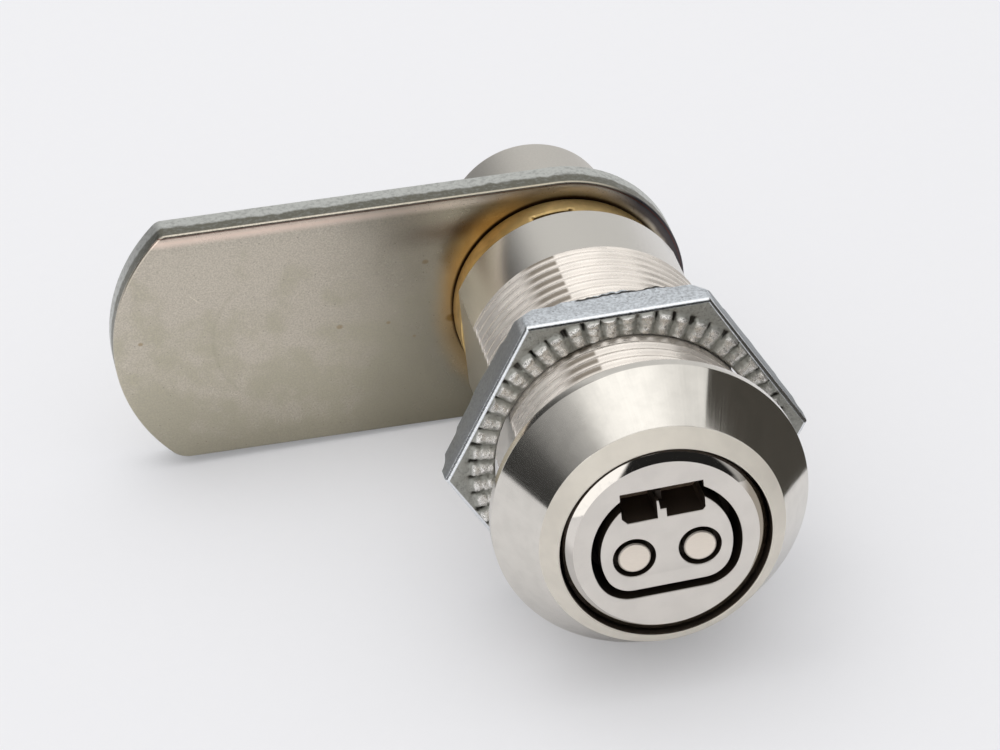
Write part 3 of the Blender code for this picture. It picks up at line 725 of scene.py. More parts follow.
def polished_cone(colours):
    """Fine-turned nickel with faint streaks down the cone and a few bright specks."""
    metal = Metal("polished_cone")
    rings = metal.lathe_grain(1.0, 16.0, detail=3.0)
    streaks = metal.lathe_grain(60.0, 0.3, detail=2.0)
    clouds = metal.grain(metal.place, 0.9, 3.0)
    tint = metal.blend(metal.span(clouds, 0.35, 0.7), colours.nickel, shade(colours.nickel, 0.93))
    tint = metal.blend(streaks * 0.25, tint, shade(colours.nickel, 0.8))
    tint = metal.blend(metal.specks(3.1, 0.05) * 0.6, tint, CONE_SPECK)
    rough = 0.09 + 0.05 * metal.span(streaks, 0.3, 0.7) + 0.03 * clouds
    normal = metal.bump(rings * 0.8 + streaks * 0.2, 0.0015)
    return metal.done(tint, rough, normal, anisotropic=0.8)


def satin_rim(colours):
    """Bead-blasted chamfer round the mouth, pale from every side."""
    metal = Metal("satin_rim")
    fine = metal.grain(metal.place, 9.0, 3.0, 0.6)
    clouds = metal.grain(metal.place, 0.7, 2.0)
    tint = metal.blend(metal.span(clouds, 0.3, 0.7), shade(colours.rim, 1.04), shade(colours.rim, 0.97))
    return metal.done(tint, 0.42 + 0.08 * fine, metal.bump(fine, 0.004), metallic=0.30)


def cut_thread(colours):
    """Plated thread, darker and browner in the roots, with painted dark reflections in streaks on the flanks
    at the upper left.
    """
    metal = Metal("cut_thread")
    # Darker and browner in the roots.
    root = metal.span(metal.radius, THREAD_R - 0.38, THREAD_R - 0.26, 1.0, 0.0)
    fine = metal.lathe_grain(6.0, 9.0, detail=3.0)
    clouds = metal.grain(metal.place, 0.6, 2.0)
    tint = metal.blend(metal.span(clouds, 0.35, 0.65), colours.thread, shade(colours.thread, 0.92))
    tint = metal.blend(root * 0.75, tint, THREAD_ROOT)
    angle = metal.maths("ARCTAN2", metal.y, metal.x) * (180 / math.pi)
    step = metal.maths("FRACT", metal.z / THREAD_PITCH + angle / 360 + 0.5)
    # Painted dark reflection: dark streaks on one flank of each turn, only at the upper left.
    near, far = REFLECTION_STRIPES_DEG
    flank = metal.span(step, 0.02, 0.14) * metal.span(step, 0.26, 0.42, 1.0, 0.0)
    reflection_stripes = flank * metal.span(angle, near - 0.7, near + 0.7)
    reflection_stripes = reflection_stripes * metal.span(angle, far, far + REFLECTION_STRIPES_FADE_DEG, 1.0, 0.0)
    tint = metal.blend(reflection_stripes * 0.85, tint, THREAD_REFLECTION_STRIPE)
    rough = 0.22 + 0.10 * fine + 0.12 * root
    return metal.done(tint, rough, metal.bump(fine, 0.006), metallic=0.62, anisotropic=0.3)


def milled_flat(colours):
    """The two flats, milled across."""
    metal = Metal("milled_flat")
    lines = metal.grain(metal.joined(0.0, metal.y * 9.0, metal.z * 0.6), 1.0, 3.0)
    tint = metal.blend(lines, shade(colours.nickel, 0.96), shade(colours.nickel, 0.88))
    return metal.done(tint, 0.30 + 0.10 * lines, metal.bump(lines, 0.006))


def turned_collar(colours):
    """Smooth end of the body behind the thread."""
    metal = Metal("turned_collar")
    rings = metal.lathe_grain(2.0, 8.0, detail=3.0)
    fine = metal.grain(metal.place, 7.0, 3.0)
    tint = metal.blend(fine, shade(colours.nickel, 0.94), shade(colours.nickel, 0.86))
    return metal.done(tint, 0.20 + 0.08 * fine, metal.bump(rings * 0.5 + fine * 0.5, 0.006), anisotropic=0.2)


def ground_face(colours):
    """Satin key face with very fine grinding."""
    metal = Metal("ground_face")
    fine = metal.grain(metal.place, 8.0, 4.0, 0.6)
    clouds = metal.grain(metal.place, 0.5, 3.0)
    tint = metal.blend(metal.span(clouds, 0.35, 0.65), colours.key_face, shade(colours.key_face, 0.95))
    tint = metal.blend(metal.specks(2.3, 0.05, 4.0) * 0.35, tint, shade(colours.key_face, 0.55))
    return metal.done(tint, 0.34 + 0.08 * fine, metal.bump(fine, 0.003))


def mirror_edge(colours):
    """Polished rounding round the key face, with turning lines, a painted brown reflection at the right and a
    painted dark reflection at the left.
    """
    metal = Metal("mirror_edge")
    rings = metal.lathe_grain(1.0, 9.0, detail=3.0)
    blotch = metal.span(metal.grain(metal.place, 1.1, 2.0), 0.55, 0.75)
    tint = metal.blend(blotch * 0.3, colours.key_face, shade(colours.key_face, 0.7))
    # Painted brown reflection at the right.
    tint = metal.blend(metal.span(metal.x, 5.4, 6.2) * 0.8, tint, EDGE_BROWN_REFLECTION)
    # Painted dark reflection at the left.
    dull = metal.span(metal.x + metal.y * 0.6, -5.6, -6.6) * 0.7
    tint = metal.blend(dull, tint, shade(colours.key_face, 0.55))
    return metal.done(tint, 0.05 + 0.03 * rings + 0.05 * blotch, metal.bump(rings, 0.001))


def oiled_bore(colours, name="oiled_bore", lift=1.0):
    """Keyways and gaps, dark with oil. A lift above 1 makes them paler, as for the pocket floor."""
    metal = Metal(name)
    clouds = metal.grain(metal.place, 1.6, 3.0)
    tint = metal.blend(clouds, shade(colours.oil, lift), shade(colours.oil, 2.2 * lift))
    return metal.done(tint, 0.42 + 0.15 * clouds, metal.bump(clouds, 0.01), metallic=0.5)


def hard_pin(colours):
    """Cream-coloured ground end with a darker rim and fine scratches."""
    metal = Metal("hard_pin")
    scratches = metal.grain(metal.joined(metal.x * 2.0, metal.y * 14.0, 0.0), 1.0, 3.0)
    rim = metal.span(metal.radius + (scratches - 0.5) * 0.12, PIN_R - 0.17, PIN_R - 0.05)
    tint = metal.blend(scratches, shade(colours.pin, 1.03), shade(colours.pin, 0.93))
    tint = metal.blend(rim, tint, shade(colours.pin, 0.45))
    return metal.done(tint, 0.34 + 0.10 * scratches, metal.bump(scratches, 0.004))


def cam_zinc(colours):
    """Matt beige zinc: speckle, clouds and small marks, with painted light: a pink highlight, a dark
    reflection and a thin red-brown reflected line along the upper rolled edge, painted shade towards the
    bottom and along the hub's right edge, a gold reflection of the brass collar and a painted shadow round
    its seat.
    """
    metal = Metal("cam_zinc")
    speckle = metal.grain(metal.place, 8.0, 3.0, 0.7)
    fine = metal.grain(metal.place, 2.6, 4.0, 0.65)
    clouds = metal.grain(metal.place, 0.35, 4.0, 0.6)
    olive = (colours.cam[0] * 0.86, colours.cam[1] * 0.88, colours.cam[2] * 0.80)
    over = metal.maths("MAXIMUM", metal.x, 0.0)
    rim = CAM_HALF_W - metal.vector("LENGTH", metal.joined(over, metal.y, 0.0), output=1)
    # Mask of the upper half, where the painted highlight and reflections along the edge go.
    upper = metal.span(metal.y, -1.0, 5.0)
    # Painted shade: the clouds lean paler towards the top and more olive towards the bottom.
    tint = metal.blend(metal.span(clouds - 0.02 * metal.y, 0.38, 0.66), shade(colours.cam, 1.04), olive)
    hub = metal.span(metal.radius + clouds * 8.0, 13.0, 24.0, 0.75, 0.0)
    tint = metal.blend(hub, tint, shade(olive, 0.80))
    tint = metal.blend(metal.span(speckle, 0.35, 0.65) * 0.7, tint, shade(colours.cam, 0.70))
    tint = metal.blend(metal.span(fine, 0.56, 0.76) * 0.35, tint, shade(olive, 0.72))
    # Painted highlight along the upper rolled edge: pink towards the tip, paler towards the hub.
    pink_edge_highlight = metal.blend(metal.span(metal.x, -20.0, -2.0), colours.pink_edge_highlight, PALE_PINK_HIGHLIGHT)
    # Painted shade: darker towards the bottom.
    lower_shade = metal.span(metal.y, -1.0, -9.0) * 0.35 + metal.spot(-8.0, -8.0, 11.0) * 0.45
    tint = metal.blend(lower_shade, tint, shade(olive, 0.5))
    tint = metal.blend(metal.band(rim, 0.55, 0.55) * upper * 0.9, tint, pink_edge_highlight)
    # Painted dark reflection: a brown band inside the upper edge near the hub.
    dark_edge_reflection = metal.band(rim + clouds * 0.8, 3.0, 1.6) * metal.span(metal.radius, 10.0, 16.0, 0.7, 0.0) * upper
    tint = metal.blend(dark_edge_reflection, tint, CAM_DARK_REFLECTION)
    # Painted shadow along the hub's right edge, near-black with a blue cast.
    hub_edge_shadow = metal.span(metal.x, 3.0, 6.5) * metal.span(rim + clouds * 0.5, 0.9, 1.3, 0.92, 0.0)
    tint = metal.blend(hub_edge_shadow, tint, CAM_HUB_SHADOW)
    # Painted dark reflection: a thin red-brown line along the upper edge.
    tint = metal.blend(metal.band(rim, 0.19, 0.07) * upper * 0.8, tint, CAM_RED_REFLECTION_LINE)
    marks = 0.0
    for x, y, wide, depth in CAM_STAINS:
        marks = metal.spot(x, y, wide, wide * 0.75) * depth + marks
    # Painted shade: browner round the collar's seat, laid in with the real stains below.
    seat = metal.span(metal.radius + clouds * 0.3, RING_R, 9.5, 0.85, 0.0)
    # Painted reflection of the brass collar on the cam, towards the tip side.
    brass_reflection = metal.span(metal.radius + clouds, 9.0, 11.0, 0.6, 0.0) * metal.span(metal.x, 0.0, -4.0)
    tint = metal.blend(brass_reflection, tint, colours.gold)
    tint = metal.blend(metal.span(marks + seat * 0.3, 0.0, 1.0, 0.0, 0.9, "LINEAR"), tint, colours.stain)
    # Painted contact shadow where the collar sits.
    tint = metal.blend(metal.span(metal.radius, 8.38, 8.62, 0.9, 0.0), tint, CAM_SEAT_SHADOW)
    tint = metal.blend(metal.specks(1.3, 0.09, 2.0) * 0.5, tint, shade(colours.cam, 0.35))
    ring_x, ring_y, ring_r = CAM_RING_MARK
    from_ring = metal.vector("LENGTH", metal.joined(metal.x - ring_x, metal.y - ring_y, 0.0), output=1)
    ring = metal.band(from_ring + fine * 0.3, ring_r, 0.22) * metal.span(metal.x, -23.5, -25.5)
    scratch = metal.band(metal.x * 0.7 + metal.y * 0.73 + 16.4, 0.0, 0.05)
    scratch = scratch * metal.spot(*CAM_SCRATCH, 0.9)
    tint = metal.blend(ring * 0.3, tint, shade(olive, 0.75))
    tint = metal.blend(scratch * 0.8, tint, shade(colours.cam, 1.35))
    rough = 0.22 + 0.10 * speckle + 0.04 * clouds
    normal = metal.bump(speckle * 0.5 + fine * 0.5, 0.012, metal.bump(clouds, 0.03))
    return metal.done(tint, rough, normal)


def sheared_side(colours):
    """The cam's side: a smooth dark zone in front, a lighter torn zone behind and an uneven line between."""
    metal = Metal("sheared_side")
    lines = metal.grain(metal.joined(metal.x * 3.0, metal.y * 3.0, metal.z * 0.5), 1.0, 4.0, 0.6)
    mottle = metal.grain(metal.place, 3.0, 4.0, 0.65)
    wander = metal.grain(metal.joined(metal.x * 0.9, metal.y * 0.9, 0.0), 1.0, 4.0, 0.6)
    torn = metal.span(metal.z + wander * 0.9, CAM_Z - 1.15, CAM_Z - 0.80, 1.0, 0.0)
    tint = metal.blend(torn, SHEARED_ZONE, colours.torn)
    tint = metal.blend(metal.span(mottle, 0.42, 0.7) * 0.55, tint, shade(colours.torn, 0.5))
    rough = 0.36 + 0.14 * lines + 0.06 * torn
    return metal.done(tint, rough, metal.bump(lines * 0.4 + mottle * 0.6, 0.03))


def nut_zinc(colours):
    """Blue-clear zinc: mottled top, painted shade on the sides, a dull speckled face and a crack at the burr.
    """
    metal = Metal("nut_zinc")
    fine = metal.grain(metal.place, 4.2, 5.0, 0.7)
    flakes = metal.grain(metal.place, 1.5, 4.0, 0.65)
    pits = metal.specks(2.2, 0.13, 3.0)
    face = metal.span(metal.z, NUT_Z - 0.12, NUT_Z - 0.06)
    # Mask of the top flat: the top takes the lit zinc, the sides the painted shade.
    upper = metal.span(metal.y, 10.7, 11.1)
    tint = metal.blend(metal.span(fine, 0.36, 0.64), shade(colours.zinc, 1.22), shade(colours.zinc, 0.80))
    tint = metal.blend(metal.span(flakes, 0.50, 0.68) * 0.5, tint, shade(colours.zinc, 1.35))
    # Painted shade: darker copies of the zinc for the sides.
    side = metal.blend(metal.span(fine, 0.3, 0.7), shade(colours.zinc, 0.60), shade(colours.zinc, 0.48))
    tint = metal.blend(upper, side, tint)
    dull = metal.blend(metal.span(fine, 0.38, 0.62), NUT_FACE_LIGHT, NUT_FACE_DARK)
    tint = metal.blend(face, tint, dull)
    tint = metal.blend(pits * 0.75, tint, NUT_PIT)
    wander = metal.grain(metal.joined(metal.x * 1.1, 0.0, 0.0), 1.0, 3.0)
    thick = metal.span(metal.x, -1.6, -0.6, 0.20, 0.11)
    line = (metal.z - NUT_BACK_Z - 0.16) - wander * 0.22
    crack = 1.0 - metal.span(abs(line) / thick, 0.5, 1.0)
    crack = crack * metal.span(metal.y, 11.2, 11.35)
    crack = crack * metal.span(metal.x, -2.7, -2.4) * metal.span(metal.x, 4.6, 5.2, 1.0, 0.0)
    tint = metal.blend(crack, tint, NUT_CRACK)
    rough = 0.36 + 0.24 * fine + 0.12 * face
    normal = metal.bump(fine * 0.7 + flakes * 0.3 - pits * 0.8 - crack, 0.06)
    return metal.done(tint, rough, normal, metallic=0.95 - 0.45 * face - 0.9 * crack)


def edge_highlight_zinc(colours):
    """The nut's front edge, painted near-white as a highlight, smoother than the faces."""
    metal = Metal("edge_highlight_zinc")
    fine = metal.grain(metal.place, 6.0, 3.0, 0.6)
    tint = metal.blend(fine, EDGE_HIGHLIGHT, shade(colours.zinc, 1.1))
    return metal.done(tint, 0.16 + 0.16 * fine, metal.bump(fine, 0.01))


def tooth_zinc(colours):
    """The toothed ring: crests made bright by rubbing and a painted highlight, grey-green valleys, and
    painted shade in the pits at their outer ends.
    """
    metal = Metal("tooth_zinc")
    fine = metal.grain(metal.place, 3.4, 5.0, 0.7)
    rise = metal.z + (fine - 0.5) * 0.34
    # Crests brighter by height: rubbed wear and a painted highlight.
    crest = metal.span(rise, NUT_Z + 0.14, NUT_Z + 0.34)
    tint = metal.blend(crest, TOOTH_VALLEY, colours.tooth)
    tint = metal.blend(metal.span(fine, 0.52, 0.64) * 0.6, tint, TOOTH_SHADE)
    # Painted shade in the pits and the lowest points between teeth.
    pit = metal.span(rise, NUT_Z - 0.14, NUT_Z + 0.02, 1.0, 0.0)
    tint = metal.blend(pit * 0.9, tint, TOOTH_PIT_SHADE)
    rough = 0.36 - 0.20 * crest + 0.14 * fine
    return metal.done(tint, rough, metal.bump(fine, 0.12), metallic=0.65 + 0.3 * crest)


def brass(colours):
    """Turned brass, with painted brown shadow where it meets the cam."""
    metal = Metal("brass")
    rings = metal.lathe_grain(2.0, 7.0, detail=3.0)
    clouds = metal.grain(metal.place, 0.9, 3.0)
    tint = metal.blend(metal.span(clouds, 0.35, 0.7), colours.brass, shade(colours.brass, 0.78))
    # Painted contact shadow where the collar meets the cam.
    seat = metal.span(metal.z, RING_BACK_Z + 0.08, RING_BACK_Z + 0.30, 0.9, 0.0)
    tint = metal.blend(seat, tint, BRASS_SEAT_SHADOW)
    return metal.done(tint, 0.26 + 0.12 * rings + 0.10 * clouds, metal.bump(rings, 0.006), anisotropic=0.3)


def blasted_cap(colours):
    """Matt plated cap nut and the flat washer."""
    metal = Metal("blasted_cap")
    fine = metal.grain(metal.place, 7.0, 4.0, 0.6)
    clouds = metal.grain(metal.place, 0.6, 2.0)
    tint = metal.blend(fine, shade(colours.nickel, 0.92), shade(colours.nickel, 0.80))
    return metal.done(tint, 0.42 + 0.12 * fine + 0.05 * clouds, metal.bump(fine, 0.008))


def plain_steel(colours):
    """Turned steel of the cross pin, driver pins and lock washer."""
    metal = Metal("plain_steel")
    rings = metal.lathe_grain(3.0, 6.0, detail=3.0)
    tint = metal.blend(rings, colours.steel, shade(colours.steel, 0.82))
    return metal.done(tint, 0.28 + 0.14 * rings, metal.bump(rings, 0.006))


def spring_wire(colours):
    """Drawn spring wire."""
    metal = Metal("spring_wire")
    fine = metal.grain(metal.place, 12.0, 2.0)
    tint = metal.blend(fine, shade(colours.steel, 0.8), shade(colours.steel, 0.6))
    return metal.done(tint, 0.26 + 0.10 * fine, metal.bump(fine, 0.003))


class CamLockOperator:
    """What the building operators share."""

    bl_options = {"REGISTER", "UNDO"}

    @property
    def sizes(self):
        return bpy.context.scene.cam_lock_sizes

    @property
    def colours(self):
        return bpy.context.scene.cam_lock_colours


class CAMLOCK_OT_housing(CamLockOperator, bpy.types.Operator):
    """Turn the body: cone, satin chamfer, mouth, thread with two flats and the smooth rear end"""

    bl_idname = "cam_lock.housing"
    bl_label = "Turned Body"

    def execute(self, context):
        cone, rim, thread, tail_end, bore, flat = range(6)
        angles = body_angles()
        shell = Shell()
        seams = [
            (MOUTH_R, HEAD_SEAT_Z, 0), (MOUTH_R, FACE_Z - 0.16, 0), (MOUTH_R + 0.05, FACE_Z - 0.05, 0),
            (MOUTH_R + 0.15, FACE_Z, 0), (RIM_R, RIM_Z, 0.24), (FLANGE_R, LAND_Z, 0.10),
            (FLANGE_R, 0.0, 0.06), (THREAD_R, 0.0, 0), (BORE_R, 0.0, 0)]
        profile = softened(seams, 5)
        kinds = []
        for (_, z_before), (_, z_after) in zip(profile, profile[1:]):
            middle = (z_before + z_after) / 2
            inner = len(kinds) < 2
            kinds.append(bore if inner else rim if middle > RIM_Z + 0.08 else cone)
        shell.turned(profile, angles, kinds)
        shell.turned([(MOUTH_R, HEAD_SEAT_Z), (BORE_R, HEAD_SEAT_Z), (BORE_R, 0.0)], angles, bore)
        threads = helical_rings(angles, self.sizes.thread_pitch / MM, self.sizes.thread_depth / MM)
        shell.skin(threads, thread, closed=False)
        tail = softened([(THREAD_R - 0.6, THREAD_END_Z, 0), (COLLAR_R, THREAD_END_Z, 0.05),
                         (COLLAR_R, BODY_BACK_Z, 0.15), (BORE_R, BODY_BACK_Z, 0.1), (BORE_R, 0.0, 0)])
        shell.skin([[flattened(radius, angle, z) for angle in angles] for radius, z in tail],
                   [tail_end] * (len(tail) - 2) + [bore])
        for number, face in enumerate(shell.faces):
            if all(abs(shell.points[corner][0]) > FLAT_X - 0.001 for corner in face) and \
                    all(shell.points[corner][2] < 0 for corner in face):
                shell.kinds[number] = flat
        finishes = [polished_cone(self.colours), satin_rim(self.colours), cut_thread(self.colours),
                    turned_collar(self.colours), oiled_bore(self.colours), milled_flat(self.colours)]
        shell.piece("turned_body", "body", ["housing"], finishes)
        return {"FINISHED"}


class CAMLOCK_OT_rotor(CamLockOperator, bpy.types.Operator):
    """Cut the key groove, the slot with its tab and the pin rings in the rotor's face"""

    bl_idname = "cam_lock.rotor"
    bl_label = "Rotor"

    def execute(self, context):
        face, mirror, oil, pocket = range(4)
        half = self.sizes.key_groove_width / MM / 2
        steps = 160
        floor_z = ROTOR_Z - GROOVE_DEPTH
        pocket_z = ROTOR_Z - POCKET_DEPTH
        outer = groove_side(half)
        inner = groove_side(-half)
        opening = [(-SLOT_HALF_W, SLOT_HIGH_Y), (SLOT_HALF_W, SLOT_HIGH_Y)] + outer
        right_in, right_up = SLOT_RIGHT_NOTCH
        left_in, left_up = SLOT_LEFT_NOTCH
        strip_in, step_in = TAB_STEP
        island = inner[::-1] + [
            (SLOT_HALF_W, SLOT_LOW_Y + right_up), (SLOT_HALF_W - right_in, SLOT_LOW_Y),
            (TAB_RIGHT, SLOT_LOW_Y), (TAB_RIGHT, TAB_TOP_Y), (TAB_LEFT + step_in, TAB_TOP_Y),
            (TAB_LEFT + strip_in, STRIP_TOP_Y), (TAB_LEFT, STRIP_TOP_Y), (TAB_LEFT, SLOT_LOW_Y),
            (left_in - SLOT_HALF_W, SLOT_LOW_Y), (-SLOT_HALF_W, SLOT_LOW_Y + left_up)]
        edge_r = HEAD_R - EDGE_W
        shell = Shell()
        shell.plate([(circle(edge_r, steps), 0.0), (opening, 0.05)], ROTOR_Z, floor_z, (face, face, oil))
        rings = [circle(PIN_RING_R, 48, side * PIN_X, PIN_Y)[::-1] for side in (-1, 1)]
        shell.plate([(loop, 0.05) for loop in (island, *rings)], ROTOR_Z, floor_z, (face, face, oil))
        shell.plate([(box_loop(TAB_LEFT + 0.05, TAB_RIGHT - 0.06, TAB_TOP_Y - 0.2, WEB_TOP_Y), 0.04)],
                    ROTOR_Z - WEB_DEPTH, floor_z, (oil, oil, oil))
        shell.fill([level(opening, floor_z)], oil)
        shell.fill([level(box_loop(-SLOT_HALF_W, SLOT_HALF_W, SLOT_LOW_Y, SLOT_HIGH_Y), pocket_z)], pocket)
        for ring in rings:
            shell.fill([level(ring, ROTOR_Z - PIN_RING_DEPTH)], oil)
        edge = self.edge_profile(edge_r)
        body = edge + [(HEAD_R, HEAD_BACK_Z), (ROTOR_R, HEAD_BACK_Z), (ROTOR_R, SHEAR_Z)]
        body.append((SPINDLE_R, SHEAR_Z))
        body += [(SPINDLE_R, ROTOR_END_Z + 0.4), (SPINDLE_R - 0.4, ROTOR_END_Z), (0.0, ROTOR_END_Z)]
        kinds = [mirror] * (len(edge) - 1) + [face] * (len(body) - len(edge))
        shell.turned(body, even_angles(steps), kinds)
        finishes = [ground_face(self.colours), mirror_edge(self.colours), oiled_bore(self.colours),
                    oiled_bore(self.colours, "pocket_floor", 14.0)]
        shell.piece("key_rotor", "turning_group", ["rotor"], finishes)
        return {"FINISHED"}

    def edge_profile(self, edge_r, cone_steps=8, round_steps=4):
        """The mirror edge: a slightly crowned cone that starts with a crisp line, then a small rounding."""
        low, high = EDGE_TILT_DEG
        wide = EDGE_W - 0.10
        points = [(edge_r, ROTOR_Z)]
        for step in range(cone_steps):
            tilt = math.radians(low + (high - low) * (step + 0.5) / cone_steps)
            radius, z = points[-1]
            points.append((radius + wide / cone_steps, z - math.tan(tilt) * wide / cone_steps))
        start_r, start_z = points[-1]
        first = math.radians(high)
        for step in range(1, round_steps + 1):
            turn = first + (math.pi / 2 - first) * step / round_steps
            points.append((start_r + EDGE_ROUND * (math.sin(turn) - math.sin(first)),
                           start_z - EDGE_ROUND * (math.cos(first) - math.cos(turn))))
        return points


class CAMLOCK_OT_face_pins(CamLockOperator, bpy.types.Operator):
    """Set the two hard pins in the key face"""

    bl_idname = "cam_lock.face_pins"
    bl_label = "Face Pins"

    def execute(self, context):
        finish = hard_pin(self.colours)
        for side, name in ((-1, "left"), (1, "right")):
            shell = Shell()
            profile = softened([(0.0, 0.0, 0), (PIN_R, 0.0, 0.10), (PIN_R, -PIN_LEN, 0), (0.0, -PIN_LEN, 0)])
            shell.turned(profile, even_angles(48), 0)
            place = Matrix.Translation((side * PIN_X * MM, PIN_Y * MM, ROTOR_Z * MM))
            shell.piece("hard_pin_" + name, "turning_group", ["face_pin_" + name],
                        [finish], place)
        return {"FINISHED"}


class CAMLOCK_OT_drive_collar(CamLockOperator, bpy.types.Operator):
    """Turn the brass collar with its notch, stop lug and square boss"""

    bl_idname = "cam_lock.drive_collar"
    bl_label = "Drive Collar"

    def execute(self, context):
        angles = even_angles(240)
        notch = math.radians(NOTCH_DEG)
        half = math.radians(NOTCH_HALF_DEG)
        corners = [(SPINDLE_HOLE_R, RING_Z, 0), (NOTCH_FLOOR_R, RING_Z, 0), (RING_R, RING_Z, 0.12)]
        lip = NOTCH_LIP
        notch_z = RING_Z - NOTCH_LEN
        front = softened(corners + [(RING_R, RING_BACK_Z, 0)])
        front = front[:-1] + [(RING_R, notch_z), (RING_R, notch_z - lip), (RING_R, notch_z - 2 * lip)]
        rings = []
        for radius, z in front:
            ring = []
            for angle in angles:
                inside = abs((angle - notch + math.pi) % (2 * math.pi) - math.pi) < half
                sunk = inside and radius >= NOTCH_FLOOR_R and z > notch_z - lip / 2
                out = min(radius, RING_R - lip) if sunk else radius
                ring.append((out * math.cos(angle), out * math.sin(angle), notch_z if sunk else z))
            rings.append(ring)
        shell = Shell()
        shell.skin(rings, 0)
        back = softened([(RING_R, notch_z - 2 * lip, 0), (RING_R, RING_BACK_Z, 0.20),
                         (SPINDLE_HOLE_R, RING_BACK_Z, 0), (SPINDLE_HOLE_R, RING_Z, 0)])
        shell.turned(back, angles, 0)
        start, end = LUG_DEG
        lug = arc(0, 0, LUG_OUTER_R, start, end, 12) + arc(0, 0, LUG_INNER_R, end, start, 12)
        shell.plate([(lug, 0.05)], LUG_FRONT_Z, RING_Z - 1.0, (0, 0, 0))
        boss = box_loop(-BOSS_HALF, BOSS_HALF, -BOSS_HALF, BOSS_HALF)
        hole = circle(SPINDLE_HOLE_R, 64)[::-1]
        shell.plate([(boss, 0), (hole, 0)], RING_BACK_Z + 1.1, CAM_BACK_Z + 0.15, (0, 0, 0))
        shell.fill([level(boss, CAM_BACK_Z + 0.15), level(hole, CAM_BACK_Z + 0.15)], 0)
        place = Matrix.Rotation(CAM_TURN, 4, "Z")
        shell.piece("brass_collar", "turning_group", ["drive_collar"], [brass(self.colours)], place)
        return {"FINISHED"}


class CAMLOCK_OT_cam(CamLockOperator, bpy.types.Operator):
    """Stamp the long cam with its softly rolled front edge and square hole"""

    bl_idname = "cam_lock.cam"
    bl_label = "Cam"

    def execute(self, context):
        hole_half = BOSS_HALF + 0.15
        outline = cam_loop()
        hole = box_loop(-hole_half, hole_half, -hole_half, hole_half)[::-1]
        roll = roll_profile(self.sizes.cam_roll / MM)
        front = [level(cam_loop(shift), CAM_Z - drop) for shift, drop in roll]
        back = [level(inset(outline, shift), CAM_BACK_Z + rise) for shift, rise in CAM_BACK_ROUND]
        plate, side = range(2)
        shell = Shell()
        shell.skin([back[0]] + front, [side] + [plate] * (len(front) - 1))
        shell.fill([front[-1], level(hole, CAM_Z)], plate)
        shell.skin(back, side)
        shell.skin([level(hole, CAM_Z), level(hole, CAM_BACK_Z)], plate)
        shell.fill([back[-1], level(hole, CAM_BACK_Z)], plate)
        place = Matrix.Rotation(CAM_TURN, 4, "Z")
        shell.piece("long_cam", "turning_group", ["cam"],
                    [cam_zinc(self.colours), sheared_side(self.colours)], place)
        return {"FINISHED"}


class CAMLOCK_OT_lock_nut(CamLockOperator, bpy.types.Operator):
    """Form the hexagon nut with its ring of rough radial teeth and the sheared burr"""

    bl_idname = "cam_lock.lock_nut"
    bl_label = "Lock Nut"

    def execute(self, context):
        count = self.sizes.tooth_count
        height = self.sizes.tooth_height / MM
        burr = self.sizes.burr_height / MM
        angles = even_angles(count * TOOTH_COLUMNS)
        edge = NUT_EDGE
        teeth, zinc, edge_highlight = range(3)
        rings = [[(NUT_HOLE_R, NUT_BACK_Z)] * len(angles), [(NUT_HOLE_R, NUT_Z - 0.1)] * len(angles)]
        kinds = [zinc, zinc]
        for row in range(TOOTH_ROWS + 1):
            part = row / TOOTH_ROWS
            ring = []
            for angle in angles:
                outer = min(TOOTH_OUTER_R + 0.12, hexagon_reach(angle) - edge - 0.01)
                radius = NUT_HOLE_R + 0.02 + (outer - NUT_HOLE_R - 0.02) * part
                ring.append((radius, NUT_Z + tooth_rise(radius, angle, count, height) * (part < 1)))
            rings.append(ring)
            kinds.append(teeth)
        # The front edge rows take the near-white painted highlight.
        for shift, drop in ((0.0, 0.0), (0.70, 0.29), (1.0, 1.0)):
            rings.append([(hexagon_reach(angle) - edge * (1 - shift), NUT_Z - edge * drop)
                          for angle in angles])
            kinds.append(zinc if shift == 1.0 else edge_highlight)
        blank_r = NUT_HALF / math.cos(math.pi / 6) + 0.5
        for along in (0.45, 0.80, 0.92, 1.0):
            ring = []
            for angle in angles:
                z = NUT_Z - edge + (NUT_BACK_Z - NUT_Z + edge) * along
                cone = NUT_HALF + (blank_r - NUT_HALF) * (z - NUT_BACK_Z) / 0.9
                ring.append((min(hexagon_reach(angle), cone), z))
            rings.append(ring)
            kinds.append(zinc)
        rings.append(rings[0])
        shell = Shell()
        placed = []
        burr_left, burr_right = BURR_X
        for number, ring in enumerate(rings):
            points = []
            for angle, (radius, z) in zip(angles, ring):
                x, y = radius * math.cos(angle), radius * math.sin(angle)
                at_burr = radius > NUT_HALF - 0.3 and y > BURR_Y and burr_left < x < burr_right
                if number >= len(rings) - 3 and at_burr:
                    y += burr * max(0.0, 0.35 + noise.noise(Vector((x * 2.3, z, 0.7))) * 1.6)
                points.append((x, y, z))
            placed.append(points)
        shell.skin(placed, kinds[:len(placed) - 1])
        place = Matrix.Rotation(NUT_TURN, 4, "Z")
        finishes = [tooth_zinc(self.colours), nut_zinc(self.colours), edge_highlight_zinc(self.colours)]
        shell.piece("serrated_nut", "nut", ["lock_nut"], finishes, place, 50)
        return {"FINISHED"}


